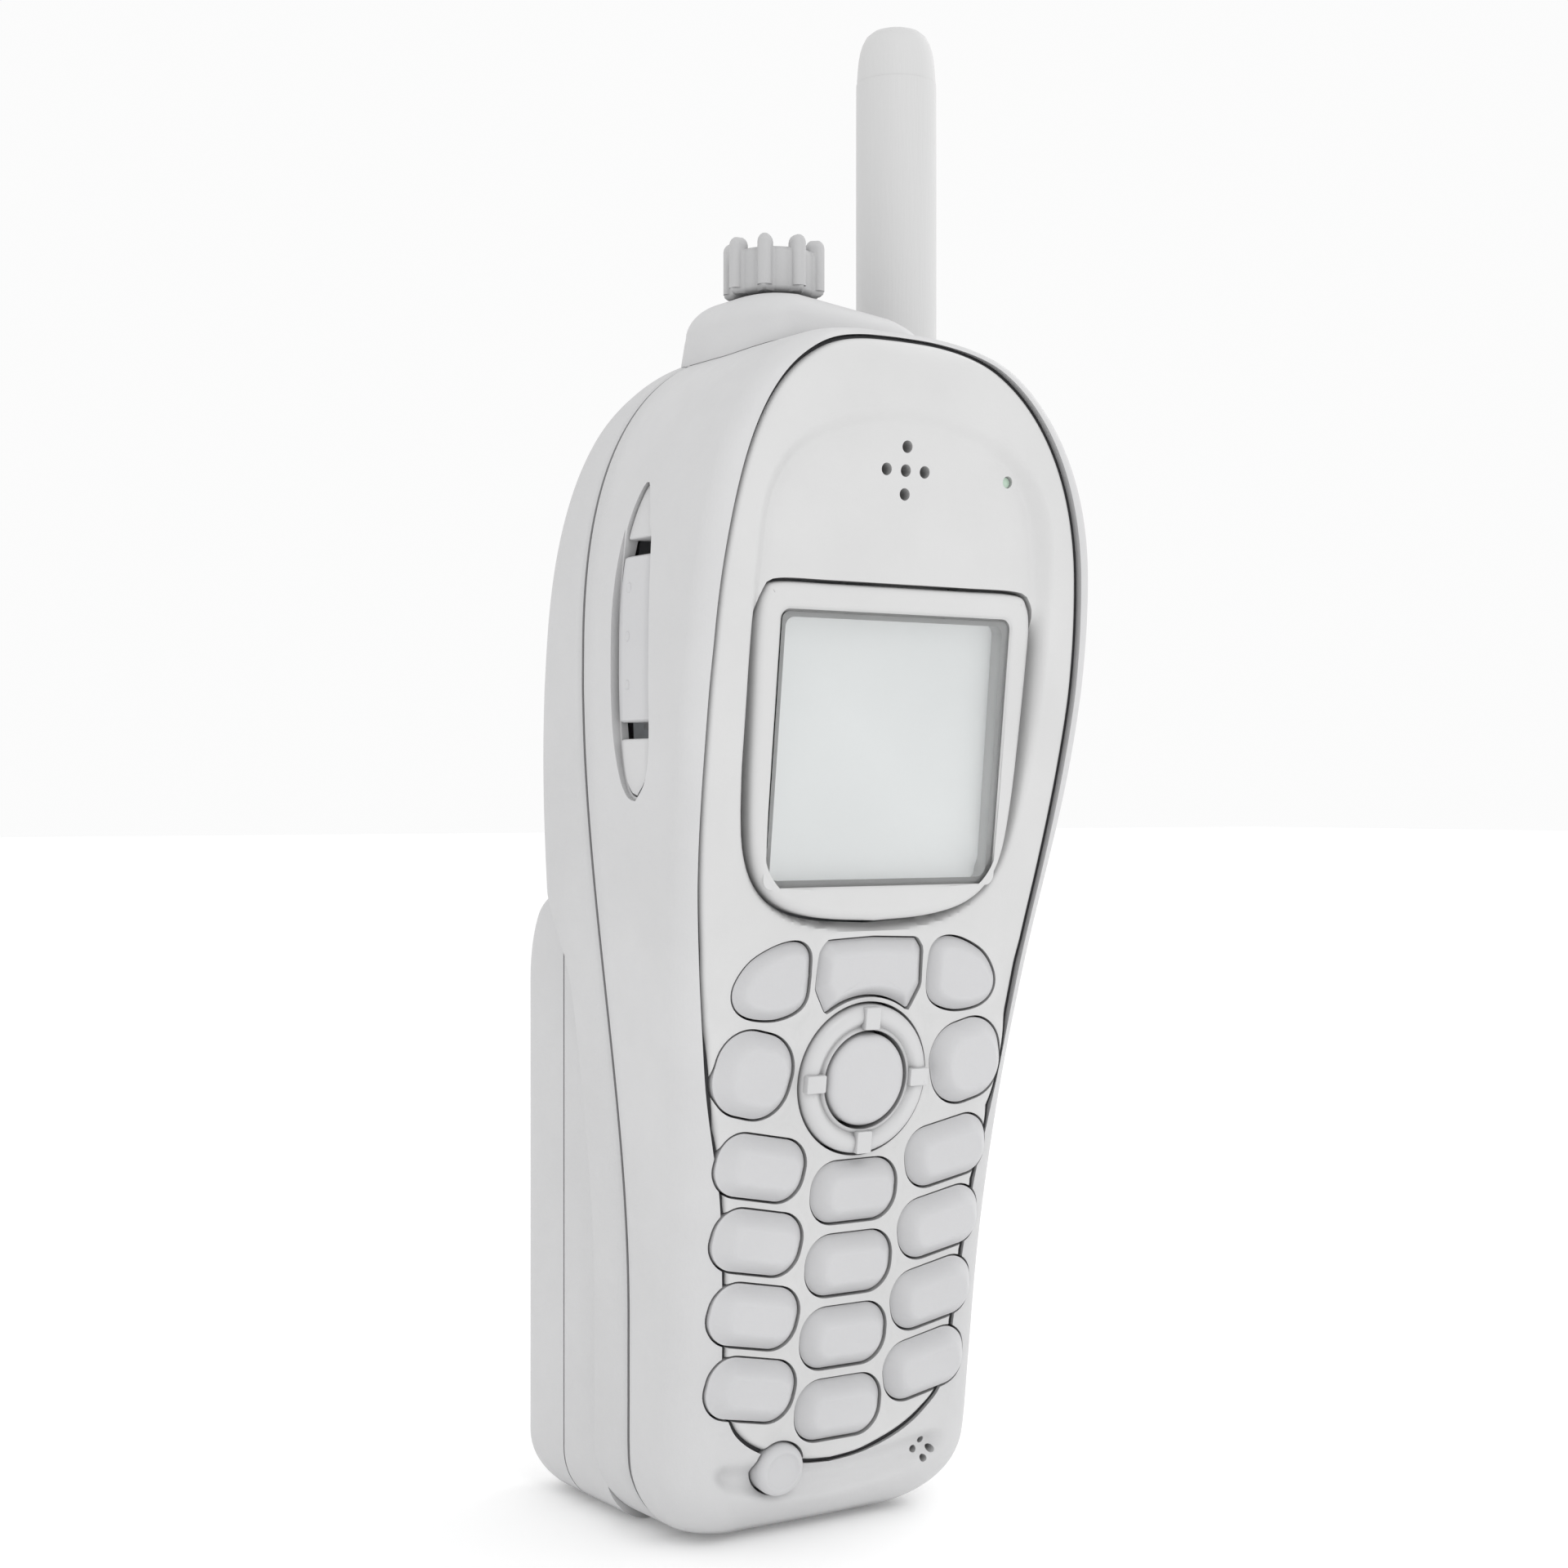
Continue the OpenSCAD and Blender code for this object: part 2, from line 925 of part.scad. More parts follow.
module keypad_mat() {
    color([0.82, 0.82, 0.84])
        on_face(0, 42, -7.2)
            translate([0, 1, 0]) {
                linear_extrude(0.6)
                    round_rect(39, 66, 4);
                for (row = [0:3], side = [-1, 0, 1])
                    translate([side * (key_x - 0.3 * row),
                        (side == 0 ? mid_z[row] : side_z[row]) * 1.008 - 43.3, 0.5])
                        cylinder(h = 1.6, d1 = 4.4, d2 = 3);
                for (x = [-16.7, 16.7])
                    translate([x, 19, 0.5])
                        cylinder(h = 1.6, d1 = 4.4, d2 = 3);
                translate([0, 17.6, 0.5])
                    cylinder(h = 1.8, d1 = 4.4, d2 = 3);
            }
}

// Side view of the battery pack between the two half shells
module pack_side(y0, y1, d = 0) {
    intersection() {
        polygon([[pack_face + 0.1 + d, d], [pack_back - 8, d], [pack_back - 3.2, 1.8 + d],
            [pack_back - 1 - d, 5], [pack_back - d, 9], [pack_back - d, 70],
            [pack_back - 1 - d, 76], [pack_back - 3.6 - d, 81 - d],
            [pack_back - 7, pack_h - d], [pack_face + 6 + d, pack_h - d],
            [pack_face + 4.3 + d, 81.8], [pack_face + 2.3 + d, 77.8],
            [pack_face + 0.9 + d, 73.8], [pack_face + 0.1 + d, 69.6]]);
        translate([y0, -10])
            square([y1 - y0, 120]);
    }
}

module pack_plan(d = 0) {
    difference() {
        translate([-pack_half_w + d, pack_face])
            square([2 * (pack_half_w - d), pack_back - pack_face - d]);
        for (s = [-1, 1])
            translate([s * (pack_half_w - d), pack_back - d])
                rotate([0, 0, 45])
                    square(3.2, center = true);
    }
}

module pack_form(y0, y1, d = 0) {
    intersection() {
        wide(-40, 40)
            pack_side(y0, y1, d);
        translate([0, seam_y, -5])
            linear_extrude(120)
                pack_plan(d);
    }
}

module battery_case() {
    color([0.86, 0.86, 0.86])
        difference() {
            pack_form(0, 20);
            intersection() {
                pack_form(0, 30, 1.6);
                translate([-40, seam_y + pack_face + 2, 0])
                    cube([80, 40, 120]);
            }
            for (i = [-2:2])
                translate([i * 3 - 1, seam_y + 8, 21])
                    cube([2, 4, 4]);
        }
}

module battery_cover() {
    color([0.88, 0.88, 0.88])
        difference() {
            pack_form(20.1, 40);
            pack_form(0, 40, 1.6);
        }
}

module battery_cells() {
    color([0.3, 0.42, 0.52])
        for (x = [-10.2, 10.2])
            translate([x, seam_y + 21, 8])
                cylinder(h = 65, d = 18.2);
}

module battery_contacts() {
    color([0.82, 0.7, 0.36])
        for (i = [-2:2])
            translate([i * 3 - 0.9, seam_y + 9.2, 21.2])
                cube([1.8, 0.9, 3.6]);
}

module phone_contacts() {
    color([0.82, 0.7, 0.36]) {
        for (i = [-2:2])
            translate([i * 3 - 0.7, seam_y + 5, 21.6])
                cube([1.4, 3.8, 2.8]);
        translate([-8, seam_y + 4.6, 20.4])
            cube([16, 1.4, 5.2]);
    }
}

module battery_latch() {
    color([0.78, 0.78, 0.79]) {
        translate([-5.8, seam_y + 15, 84.4])
            cube([11.6, 2.6, 6]);
        translate([-4, seam_y + 12.4, 85])
            cube([8, 2.8, 2.6]);
    }
}

module latch_spring() {
    color([0.65, 0.66, 0.68])
        for (x = [-2.6, 2.6])
            translate([x, seam_y + 13.8, 87.6])
                cylinder(h = 5.8, d = 2);
}

module sim_holder() {
    color([0.75, 0.75, 0.77])
        translate([2, seam_y + 2.5, 54])
            cube([15, 2, 16]);
}

module case_screws() {
    color([0.6, 0.61, 0.63])
        screw_spots() {
            translate([0, 0, -3.4])
                cylinder(h = 10.6, d = 1.8);
            translate([0, 0, 6.9])
                difference() {
                    cylinder(h = 1.3, d = 4.4);
                    translate([-1.6, -0.3, 0.7])
                        cube([3.2, 0.6, 1]);
                }
        }
}

union() {
    front_housing();
}
union() {
    rear_housing();
}
union() {
    shell_gasket();
}
union() {
    faceplate();
}
union() {
    faceplate_gasket();
}
union() {
    display_bezel();
}
union() {
    display_lens();
}
union() {
    display_seal();
}
union() {
    lcd_module();
}
union() {
    earpiece_speaker();
}
union() {
    earpiece_mesh();
}
union() {
    status_light();
}
union() {
    mic_capsule();
}
union() {
    mic_boot();
}
union() {
    control_turret();
}
union() {
    key_1();
}
union() {
    key_2();
}
union() {
    key_3();
}
union() {
    key_4();
}
union() {
    key_5();
}
union() {
    key_6();
}
union() {
    key_7();
}
union() {
    key_8();
}
union() {
    key_9();
}
union() {
    key_star();
}
union() {
    key_0();
}
union() {
    key_hash();
}
union() {
    soft_key_left();
}
union() {
    soft_key_center();
}
union() {
    soft_key_right();
}
union() {
    call_key();
}
union() {
    end_key();
}
union() {
    nav_gimbal();
}
union() {
    nav_ring();
}
union() {
    ok_button();
}
union() {
    power_button();
}
union() {
    ptt_button();
}
union() {
    ptt_trim_upper();
}
union() {
    ptt_trim_lower();
}
union() {
    ptt_switch();
}
union() {
    volume_knob();
}
union() {
    knob_shaft();
}
union() {
    knob_encoder();
}
union() {
    antenna();
}
union() {
    antenna_guide();
}
union() {
    antenna_contact();
}
union() {
    chassis();
}
union() {
    main_board();
}
union() {
    shield_cans();
}
union() {
    keypad_board();
}
union() {
    keypad_mat();
}
union() {
    battery_case();
}
union() {
    battery_cover();
}
union() {
    battery_cells();
}
union() {
    battery_contacts();
}
union() {
    phone_contacts();
}
union() {
    battery_latch();
}
union() {
    latch_spring();
}
union() {
    sim_holder();
}
union() {
    case_screws();
}
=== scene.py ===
import json
import math

import bmesh
import bpy
import numpy as np
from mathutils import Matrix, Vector


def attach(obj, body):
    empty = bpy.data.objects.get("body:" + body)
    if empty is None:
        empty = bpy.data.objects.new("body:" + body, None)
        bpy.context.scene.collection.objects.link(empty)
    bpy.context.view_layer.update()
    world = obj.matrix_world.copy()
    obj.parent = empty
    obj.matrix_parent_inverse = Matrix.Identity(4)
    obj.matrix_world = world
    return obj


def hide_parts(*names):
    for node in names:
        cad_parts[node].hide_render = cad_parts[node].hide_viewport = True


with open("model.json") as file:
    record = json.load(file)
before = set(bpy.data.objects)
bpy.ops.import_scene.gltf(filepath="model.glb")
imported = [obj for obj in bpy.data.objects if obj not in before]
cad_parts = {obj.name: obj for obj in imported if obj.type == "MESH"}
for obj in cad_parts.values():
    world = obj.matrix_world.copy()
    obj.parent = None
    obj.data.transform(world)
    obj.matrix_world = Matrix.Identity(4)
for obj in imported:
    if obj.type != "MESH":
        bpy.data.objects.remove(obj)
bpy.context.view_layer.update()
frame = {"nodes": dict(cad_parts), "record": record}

# sizes and places in mm, x across the phone and z up
SEAM = -1.84                    # depth of the parting plane
BODY_H = 155.5                  # height of the housings
HALF_W = 30.8                   # half width at the head
BASE_W = 24.1                   # half width at the foot
LEAN = math.atan(0.125)         # lean of the face
FRAME_LEAN = math.radians(6.75)  # lean of the display
DISPLAY_Z = 102.25              # middle of the display
SOFT_Z = 73.4                   # soft keys
NAV_Z = 60.4                    # navigation ring
EAR_Z = 137.2                   # middle ear hole
LIGHT = (16.3, 136.9)           # status light, x and z
MIC = (15.4, 8.8)               # microphone, x and z
POWER = (-8.3, 10)              # power button, x and z
ANTENNA = (20.5, 0.16)          # antenna, x and y
KNOB = (-5.0, SEAM - 5.5)       # volume knob, x and y
PACK_HALF_W = 22.4              # half width of the battery pack
PACK_BACK = 33.4                # back of the pack behind the parting plane
PACK_H = 84                     # height of the pack


# ---------- shape helpers, all in mm ----------

def smooth(t):
    t = np.clip(t, 0, 1)
    return t * t * (3 - 2 * t)


def round_over(t):
    """Fall of a quarter circle, 0 where t is 0 and 1 where t is 1."""
    return 1 - np.sqrt(np.maximum(0, 1 - np.clip(t, 0, 1) ** 2))


def level(p, h):
    """Plane outline lifted to height h."""
    return np.column_stack([p, np.full(len(p), h)])


def counter_clockwise(p):
    area = np.sum(p[:, 0] * np.roll(p[:, 1], -1) - np.roll(p[:, 0], -1) * p[:, 1])
    return p[::-1] if area < 0 else p


def face_depth(z):
    """Depth of the plain face in front of the parting plane."""
    z = np.asarray(z, float)
    return (10.5 + 0.125 * z + 3 * smooth((z - 72) / 45)
            - 0.0055 * np.maximum(0, z - 125) ** 2)


def spline(points, n):
    """Catmull-Rom curve through points, n samples even in length."""
    p = np.array(points, float)
    q = np.vstack([2 * p[0] - p[1], p, 2 * p[-1] - p[-2]])
    out = []
    for i in range(1, len(q) - 2):
        t = np.linspace(0, 1, 24, endpoint=False)[:, None]
        a, b, c, d = q[i - 1], q[i], q[i + 1], q[i + 2]
        out.append(0.5 * (2 * b + (c - a) * t + (2 * a - 5 * b + 4 * c - d) * t ** 2
                          + (3 * b - 3 * c + d - a) * t ** 3))
    out = np.vstack(out + [p[-1:]])
    s = np.concatenate([[0], np.cumsum(np.linalg.norm(np.diff(out, axis=0), axis=1))])
    u = np.linspace(0, s[-1], n)
    return np.column_stack([np.interp(u, s, out[:, k]) for k in range(out.shape[1])])


def inward(c, d):
    """Right half of an outline moved inward by d and closed again at the middle."""
    if d:
        t = np.gradient(c, axis=0)
        t /= np.linalg.norm(t, axis=1)[:, None]
        c = c + d * np.column_stack([-t[:, 1], t[:, 0]])
        c = c[c[:, 0] > 0.02]
        c = np.vstack([[0.02, c[0, 1]], c, [0.02, c[-1, 1]]])
    return c


def body_curve(d=0.0):
    """Right half of the housing outline, rising in z, moved inward by d."""
    pts = [[0.02, 0], [6, 0]]
    pts += [[BASE_W - 12 + 12 * math.sin(a), 12 - 12 * math.cos(a)]
            for a in np.radians(range(0, 90, 10))]
    pts += [[BASE_W + (HALF_W - BASE_W) * float(smooth((z - 30) / 82)), z]
            for z in range(13, 112, 6)]
    pts += [[max(0.02, HALF_W * math.cos(a) ** (2 / 2.6)),
             112 + (BODY_H - 112) * math.sin(a) ** (2 / 2.6)]
            for a in np.radians(np.arange(0, 90.1, 4.5))]
    return inward(spline(pts, 330), d)


def plate_curve(d=0.0):
    """Right half of the faceplate outline, rising in z, moved inward by d."""
    pts = [[0.02, 10.2], [4, 10.6], [8, 11.7], [11, 12.9], [13.6, 14.5], [15.7, 16.7],
           [17, 19.6], [17.6, 23], [17.8, 27], [18.5, 36], [19.6, 46], [21.2, 53.5],
           [22.5, 60], [23.7, 68], [25, 77], [26.4, 87], [27.3, 97]]
    pts += [[max(0.02, 27.8 * math.cos(a) ** (2 / 2.7)),
             108 + 45.6 * math.sin(a) ** (2 / 2.7)]
            for a in np.radians(np.arange(0, 90.1, 4.5))]
    return inward(spline(pts, 360), d)


def distance(curve, x, z):
    """Distance from points to a curve drawn in x and z."""
    a, b = curve[:-1].astype(np.float32), curve[1:].astype(np.float32)
    ab = b - a
    ll = np.maximum((ab ** 2).sum(1), 1e-9)
    p = np.column_stack([x.ravel(), z.ravel()]).astype(np.float32)
    out = np.empty(len(p), np.float32)
    for i in range(0, len(p), 4000):
        px, pz = p[i:i + 4000, :1] - a[:, 0], p[i:i + 4000, 1:] - a[:, 1]
        t = np.clip((px * ab[:, 0] + pz * ab[:, 1]) / ll, 0, 1)
        out[i:i + 4000] = np.sqrt(((px - t * ab[:, 0]) ** 2 + (pz - t * ab[:, 1]) ** 2).min(1))
    return out.reshape(x.shape)


def inside(poly, x, z):
    """True for points inside a closed outline."""
    p = np.asarray(poly)
    res = np.zeros(x.shape, bool)
    for (x0, z0), (x1, z1) in zip(p, np.roll(p, -1, axis=0)):
        if z0 == z1:
            continue
        hit = (z0 > z) != (z1 > z)
        res ^= hit & (x < (x1 - x0) * (z - z0) / (z1 - z0) + x0)
    return res


def closed(right):
    """Full outline from a right half that runs from bottom to top."""
    right = np.asarray(right, float)
    return np.vstack([right, (right * [-1, 1])[::-1]])


def rounded(w, h, r, n=16):
    """Rounded rectangle outline, counter-clockwise, centred on 0."""
    out = []
    for cx, cy, a0 in ((1, 1, 0), (-1, 1, 90), (-1, -1, 180), (1, -1, 270)):
        for a in np.radians(np.linspace(a0, a0 + 90, n)):
            out.append([cx * (w / 2 - r) + r * math.cos(a),
                        cy * (h / 2 - r) + r * math.sin(a)])
    return np.array(out)


def shrink(p, d):
    """Moves a closed counter-clockwise outline inward by d."""
    t = np.roll(p, -1, axis=0) - np.roll(p, 1, axis=0)
    t /= np.maximum(np.linalg.norm(t, axis=1), 1e-9)[:, None]
    return p + d * np.column_stack([-t[:, 1], t[:, 0]])


def evened(p, n):
    """The same closed outline with n samples even in length."""
    q = np.vstack([p, p[:1]])
    s = np.concatenate([[0], np.cumsum(np.linalg.norm(np.diff(q, axis=0), axis=1))])
    u = np.linspace(0, s[-1], n, endpoint=False)
    return np.column_stack([np.interp(u, s, q[:, k]) for k in range(q.shape[1])])


# ---------- mesh helpers ----------

def build(name, verts, faces, angle=38):
    """Object from points in mm, with its faces turned outward."""
    me = bpy.data.meshes.new(name)
    me.from_pydata((np.asarray(verts, float) * 0.001).tolist(), [], faces)
    bm = bmesh.new()
    bm.from_mesh(me)
    if bm.calc_volume(signed=True) < 0:
        bmesh.ops.reverse_faces(bm, faces=bm.faces)
        bm.to_mesh(me)
    bm.free()
    ob = bpy.data.objects.new(name, me)
    bpy.context.scene.collection.objects.link(ob)
    shade(ob, angle)
    return ob


def shade(ob, angle=38):
    me = ob.data
    me.polygons.foreach_set("use_smooth", [True] * len(me.polygons))
    me.set_sharp_from_angle(angle=math.radians(angle))
    me.update()


def slab(name, top, bottom, angle=38):
    """Solid between two grids of the same size, top is the outer one."""
    n, m = top.shape[:2]
    verts = np.vstack([top.reshape(-1, 3), bottom.reshape(-1, 3)])
    k = n * m
    i, j = np.meshgrid(np.arange(n - 1), np.arange(m - 1), indexing="ij")
    a = (i * m + j).ravel()
    upper = np.column_stack([a, a + 1, a + m + 1, a + m])
    faces = [upper, upper[:, ::-1] + k]
    e = np.arange(m - 1)
    faces.append(np.column_stack([e + 1, e, e + k, e + 1 + k]))
    e = (n - 1) * m + np.arange(m - 1)
    faces.append(np.column_stack([e, e + 1, e + 1 + k, e + k]))
    e = np.arange(n - 1) * m
    faces.append(np.column_stack([e, e + m, e + m + k, e + k]))
    e = np.arange(n - 1) * m + m - 1
    faces.append(np.column_stack([e + m, e, e + k, e + m + k]))
    return build(name, verts, np.vstack(faces).tolist(), angle)


def loft(name, loops, angle=38, ring=False):
    """Solid through closed loops that run from the bottom to the top."""
    loops = np.asarray(loops, float)
    k, m = loops.shape[:2]
    faces = []
    j = np.arange(m)
    for i in range(k if ring else k - 1):
        a = i * m + j
        b = i * m + (j + 1) % m
        up = ((i + 1) % k) * m - i * m
        faces += np.column_stack([a, b, b + up, a + up]).tolist()
    if not ring:
        faces.append(list(range(m))[::-1])
        faces.append(list(range((k - 1) * m, k * m)))
    return build(name, loops.reshape(-1, 3), faces, angle)


def prism(name, outline, place, h0, h1):
    """Straight solid over a plane outline, place maps (u, v, h) to mm."""
    p = np.asarray(outline, float)
    return loft(name, [place(level(p, h)) for h in (h0, h1)])


def cut(ob, cutters, operation="DIFFERENCE", angle=38):
    """Applies a boolean with each cutter in turn and removes the cutters."""
    for c in cutters:
        m = ob.modifiers.new(c.name, "BOOLEAN")
        m.object = c
        m.operation = operation
        m.solver = "MANIFOLD"
    bpy.context.view_layer.update()
    got = ob.evaluated_get(bpy.context.evaluated_depsgraph_get())
    me = bpy.data.meshes.new_from_object(got)
    ob.modifiers.clear()
    old = ob.data
    ob.data = me
    bpy.data.meshes.remove(old)
    for c in cutters:
        drop(c)
    shade(ob, angle)
    return ob


def drop(ob):
    me = ob.data
    bpy.data.objects.remove(ob)
    bpy.data.meshes.remove(me)


def copy(ob, name):
    new = ob.copy()
    new.data = ob.data.copy()
    new.name = name
    bpy.context.scene.collection.objects.link(new)
    return new


def on_face(x, z, turn=0.0, lean=LEAN, depth=None):
    """Frame on the face: u right, v up the face, h out of it."""
    c, s = math.cos(turn), math.sin(turn)
    y0 = SEAM - (float(face_depth(z)) if depth is None else depth)

    def place(p):
        p = np.asarray(p, float)
        u = p[..., 0] * c - p[..., 1] * s
        v = p[..., 0] * s + p[..., 1] * c
        h = p[..., 2]
        return np.stack([x + u, y0 - v * math.sin(lean) - h * math.cos(lean),
                         z + v * math.cos(lean) - h * math.sin(lean)], axis=-1)
    return place


def flat(p):
    return np.asarray(p, float)


def side_view(p):
    """(depth behind the parting plane, z, x) to (x, y, z)."""
    p = np.asarray(p, float)
    return np.stack([p[..., 2], SEAM + p[..., 0], p[..., 1]], axis=-1)


def front_view(p):
    """(x, z, depth in front of the parting plane) to (x, y, z)."""
    p = np.asarray(p, float)
    return np.stack([p[..., 0], SEAM - p[..., 2], p[..., 1]], axis=-1)


def side_prism(name, outline, x0, x1):
    """Straight solid across the phone over an outline in depth and z."""
    return prism(name, outline, side_view, x0, x1)


def cylinder(name, centre, axis, r, length, n=48):
    """Round bar from centre along axis."""
    q = Vector(axis).normalized().to_track_quat("Z", "Y")
    a = np.linspace(0, 2 * math.pi, n, endpoint=False)
    m = np.array(q.to_matrix())
    loops = [np.column_stack([r * np.cos(a), r * np.sin(a), np.full(n, h)]) @ m.T
             + np.array(centre) for h in (0, length)]
    return loft(name, loops)


def antenna_bore(name):
    return cylinder(name, (*ANTENNA, 92), (0, 0, 1), 7.3, 80, 64)


def turned(name, rows, place, n=96, angle=38, ring=False):
    """Solid of revolution from (radius, height) rows."""
    a = np.linspace(0, 2 * math.pi, n, endpoint=False)
    return loft(name, [place(np.column_stack([r * np.cos(a), r * np.sin(a),
                                              np.full(n, h)])) for r, h in rows],
                angle, ring)


def power_hole(name, r=3.8):
    return turned(name, [(r, -7), (r, 4)], on_face(*POWER), 64)


# ---------- the keys' layout ----------

PITCH = 9.55        # between rows of number keys
KEYS = {}           # x, z, turn and outline of each key
for row, names in enumerate((("key_1", "key_2", "key_3"), ("key_4", "key_5", "key_6"),
                             ("key_7", "key_8", "key_9"), ("key_star", "key_0", "key_hash"))):
    for side, name in zip((-1, 0, 1), names):
        kz = (45.8 if side == 0 else 49.9) - PITCH * row
        KEYS[name] = (side * (14.6 - 0.3 * row), kz, math.radians(11) * side,
                      rounded(13.2, 8.0, 3.5))
for side, name in ((-1, "call_key"), (1, "end_key")):
    KEYS[name] = (side * 16.7, 61.8, math.radians(14) * side, rounded(11.4, 10.8, 4.7))
soft_side = spline([[9.3, 0.6], [9.6, 3.6], [11.4, 4.9], [14.5, 4.5], [18.2, 2.6], [20.3, -0.3],
                    [20.2, -2.7], [18.2, -4.3], [14.4, -4.8], [11.2, -4.0], [9.6, -2.4],
                    [9.3, 0.6]], 97)[:-1]
soft_side = counter_clockwise(soft_side[::-1])
# the middle soft key follows the navigation ring along its lower edge
arc = [[-10.9 * math.sin(a), -13.1 + 10.9 * math.cos(a)] for a in np.radians(range(-36, 37, 6))]
soft_mid = arc[::-1] + [[8.1, -1.2], [7.9, 3.6], [6.9, 4.9], [0, 5.2], [-6.9, 4.9], [-7.9, 3.6],
                        [-8.1, -1.2]]
soft_mid = counter_clockwise(evened(np.array(soft_mid)[::-1], 96)[::-1])
KEYS["soft_key_right"] = (0, SOFT_Z, 0.0, soft_side)
KEYS["soft_key_left"] = (0, SOFT_Z, 0.0, (soft_side * [-1, 1])[::-1])
KEYS["soft_key_center"] = (0, SOFT_Z, 0.0, soft_mid)

# right halves of the hollow of the face and of the display frame, and the main outlines
DISH = spline([[0.02, 79.0], [8, 79.5], [14, 81.2], [18.4, 84.4], [21, 89.5], [22.2, 97],
               [22.7, 106], [23, 118], [22.8, 128], [21.8, 133.6], [19.2, 138.2], [15.6, 141.2],
               [12, 142.9], [6, 144.6], [0.02, 145.2]], 200)
FRAME = spline([[0.02, 80.7], [8, 81.2], [13.6, 82.5], [17.3, 85], [19.4, 89], [20.4, 96],
                [20.9, 105], [21.2, 114], [21.2, 118.6], [20.5, 121.3], [18.6, 122.6],
                [10, 122.7], [0.02, 122.7]], 160)
PLATE = plate_curve()
BODY = body_curve()


def shaft_outline(x, z, turn, outline, grow):
    """Outline of a key in x and z, grown."""
    p = shrink(outline, -grow)
    c, s = math.cos(turn), math.sin(turn)
    return np.column_stack([x + p[:, 0] * c - p[:, 1] * s, z + p[:, 0] * s + p[:, 1] * c])


def trough(x, z):
    """Depth of the smile shaped trough under the keypad."""
    t = np.clip(np.abs(x) / 19.8, 0, 1)
    half = 3.0 * np.sqrt(1 - t ** 4)
    off = half - np.abs(z - (7.7 + 3.3 * t ** 2))
    return 1.35 * smooth(off / 2.2)


def relief(x, z):
    """Depth of the sculpted face in front of the parting plane."""
    wide = np.interp(z, BODY[:, 1], BODY[:, 0])
    h = face_depth(z) - 0.5 * (x / np.maximum(wide, 4)) ** 2
    # the ear rest, and the moat round the display frame
    sd = np.full(x.shape, -99.0)
    up = (z > 76) & (z < 149)
    sd[up] = distance(closed(DISH)[::3], x[up], z[up])
    sd[up] *= np.where(inside(closed(DISH)[::3], x[up], z[up]), 1, -1)
    floor = np.interp(z, [79, 88, 110, 121, 136, 146], [20.6, 21.9, 25.3, 26.9, 27.7, 28.9])
    blend = 1.7 + 1.1 * smooth((z - 112) / 16)
    k = smooth((sd + 0.4) / blend)
    h = h * (1 - k) + np.minimum(h, floor) * k
    fd = np.full(x.shape, 99.0)
    up = (z > 77) & (z < 126)
    fd[up] = distance(closed(FRAME)[::3], x[up], z[up])
    moat = smooth((sd - 0.1) / 1.6) * smooth((1.7 - fd) / 0.8) * smooth((121.5 - z) / 6)
    h = h - 1.9 * moat
    # soft rise of the surface towards each key
    near = np.full(x.shape, 99.0, np.float32)
    for kx, kz, turn, outline in KEYS.values():
        o = shaft_outline(kx, kz, turn, outline, 0.3)
        lo, hi = o.min(0) - 3.5, o.max(0) + 3.5
        box = (x > lo[0]) & (x < hi[0]) & (z > lo[1]) & (z < hi[1])
        if box.any():
            o = o[::2]
            near[box] = np.minimum(near[box], distance(np.vstack([o, o[:1]]), x[box], z[box]))
    ring = np.abs(np.hypot(x, (z - NAV_Z) * 1.008) - 10.1)
    near = np.minimum(near, ring)
    h = h + 0.5 * np.exp(-(near / 1.5) ** 2) - 0.25 * smooth((near - 1.2) / 2) * smooth(
        (78 - z) / 4) * smooth((z - 14) / 4)
    return h - trough(x, z)


# ---------- front housing and faceplate ----------

SEAM_GAP = 0.36     # the shells start this far from the parting plane


def front_grid(inset=0.0, detail=True, deeper=0.0):
    """Skin of the front housing from the right side of the seam round to the left."""
    c = body_curve(inset)
    w, z = c[:, 0], c[:, 1]
    depth = face_depth(z) - deeper
    depth = depth - 9 * round_over((9 - (z - inset)) / 9)
    depth = depth - 7 * round_over((z - 150.5 + inset) / 5.2)
    r = np.minimum(np.maximum(5.2 - 2.4 * smooth((z - 55) / 45) - inset, 0.8), w * 0.45 + 0.01)
    side = np.linspace(0, 1, 12)[:-1]
    a = np.linspace(0, math.pi / 2, 12)[:-1]
    mid = np.sin(np.linspace(-1, 1, 190) * math.pi / 2 * 0.93) / math.sin(math.pi / 2 * 0.93)
    cols = []
    start = SEAM_GAP
    for t in side:
        cols.append(np.column_stack([w, z, start + t * (depth - r - start)]))
    for t in a:
        cols.append(np.column_stack([w - r + r * math.cos(t), z, depth - r + r * math.sin(t)]))
    for t in mid[::-1]:
        cols.append(np.column_stack([(w - r) * t, z, depth]))
    for t in a[::-1]:
        cols.append(np.column_stack([-(w - r + r * math.cos(t)), z,
                                     depth - r + r * math.sin(t)]))
    for t in side[::-1]:
        cols.append(np.column_stack([-w, z, start + t * (depth - r - start)]))
    g = np.stack(cols, axis=1)
    if detail:
        n = len(side) + len(a)
        x, zz = g[:, n:-n, 0], g[:, n:-n, 1]
        base = face_depth(zz)
        edge = smooth((((w - r)[:, None] - np.abs(x)) + 0.2) / 3)
        g[:, n:-n, 2] += (relief(x, zz) - base) * edge
    # soften the edge at the parting plane
    for k in (0, -1):
        g[:, k, 0] = np.sign(g[:, k, 0]) * np.maximum(np.abs(g[:, k, 0]) - 0.3, 0.01)
    g[:, 1, 2] = np.minimum(g[:, 1, 2], 0.75)
    g[:, -2, 2] = np.minimum(g[:, -2, 2], 0.75)
    g[:, :, 2] = np.maximum(g[:, :, 2], start)
    return g


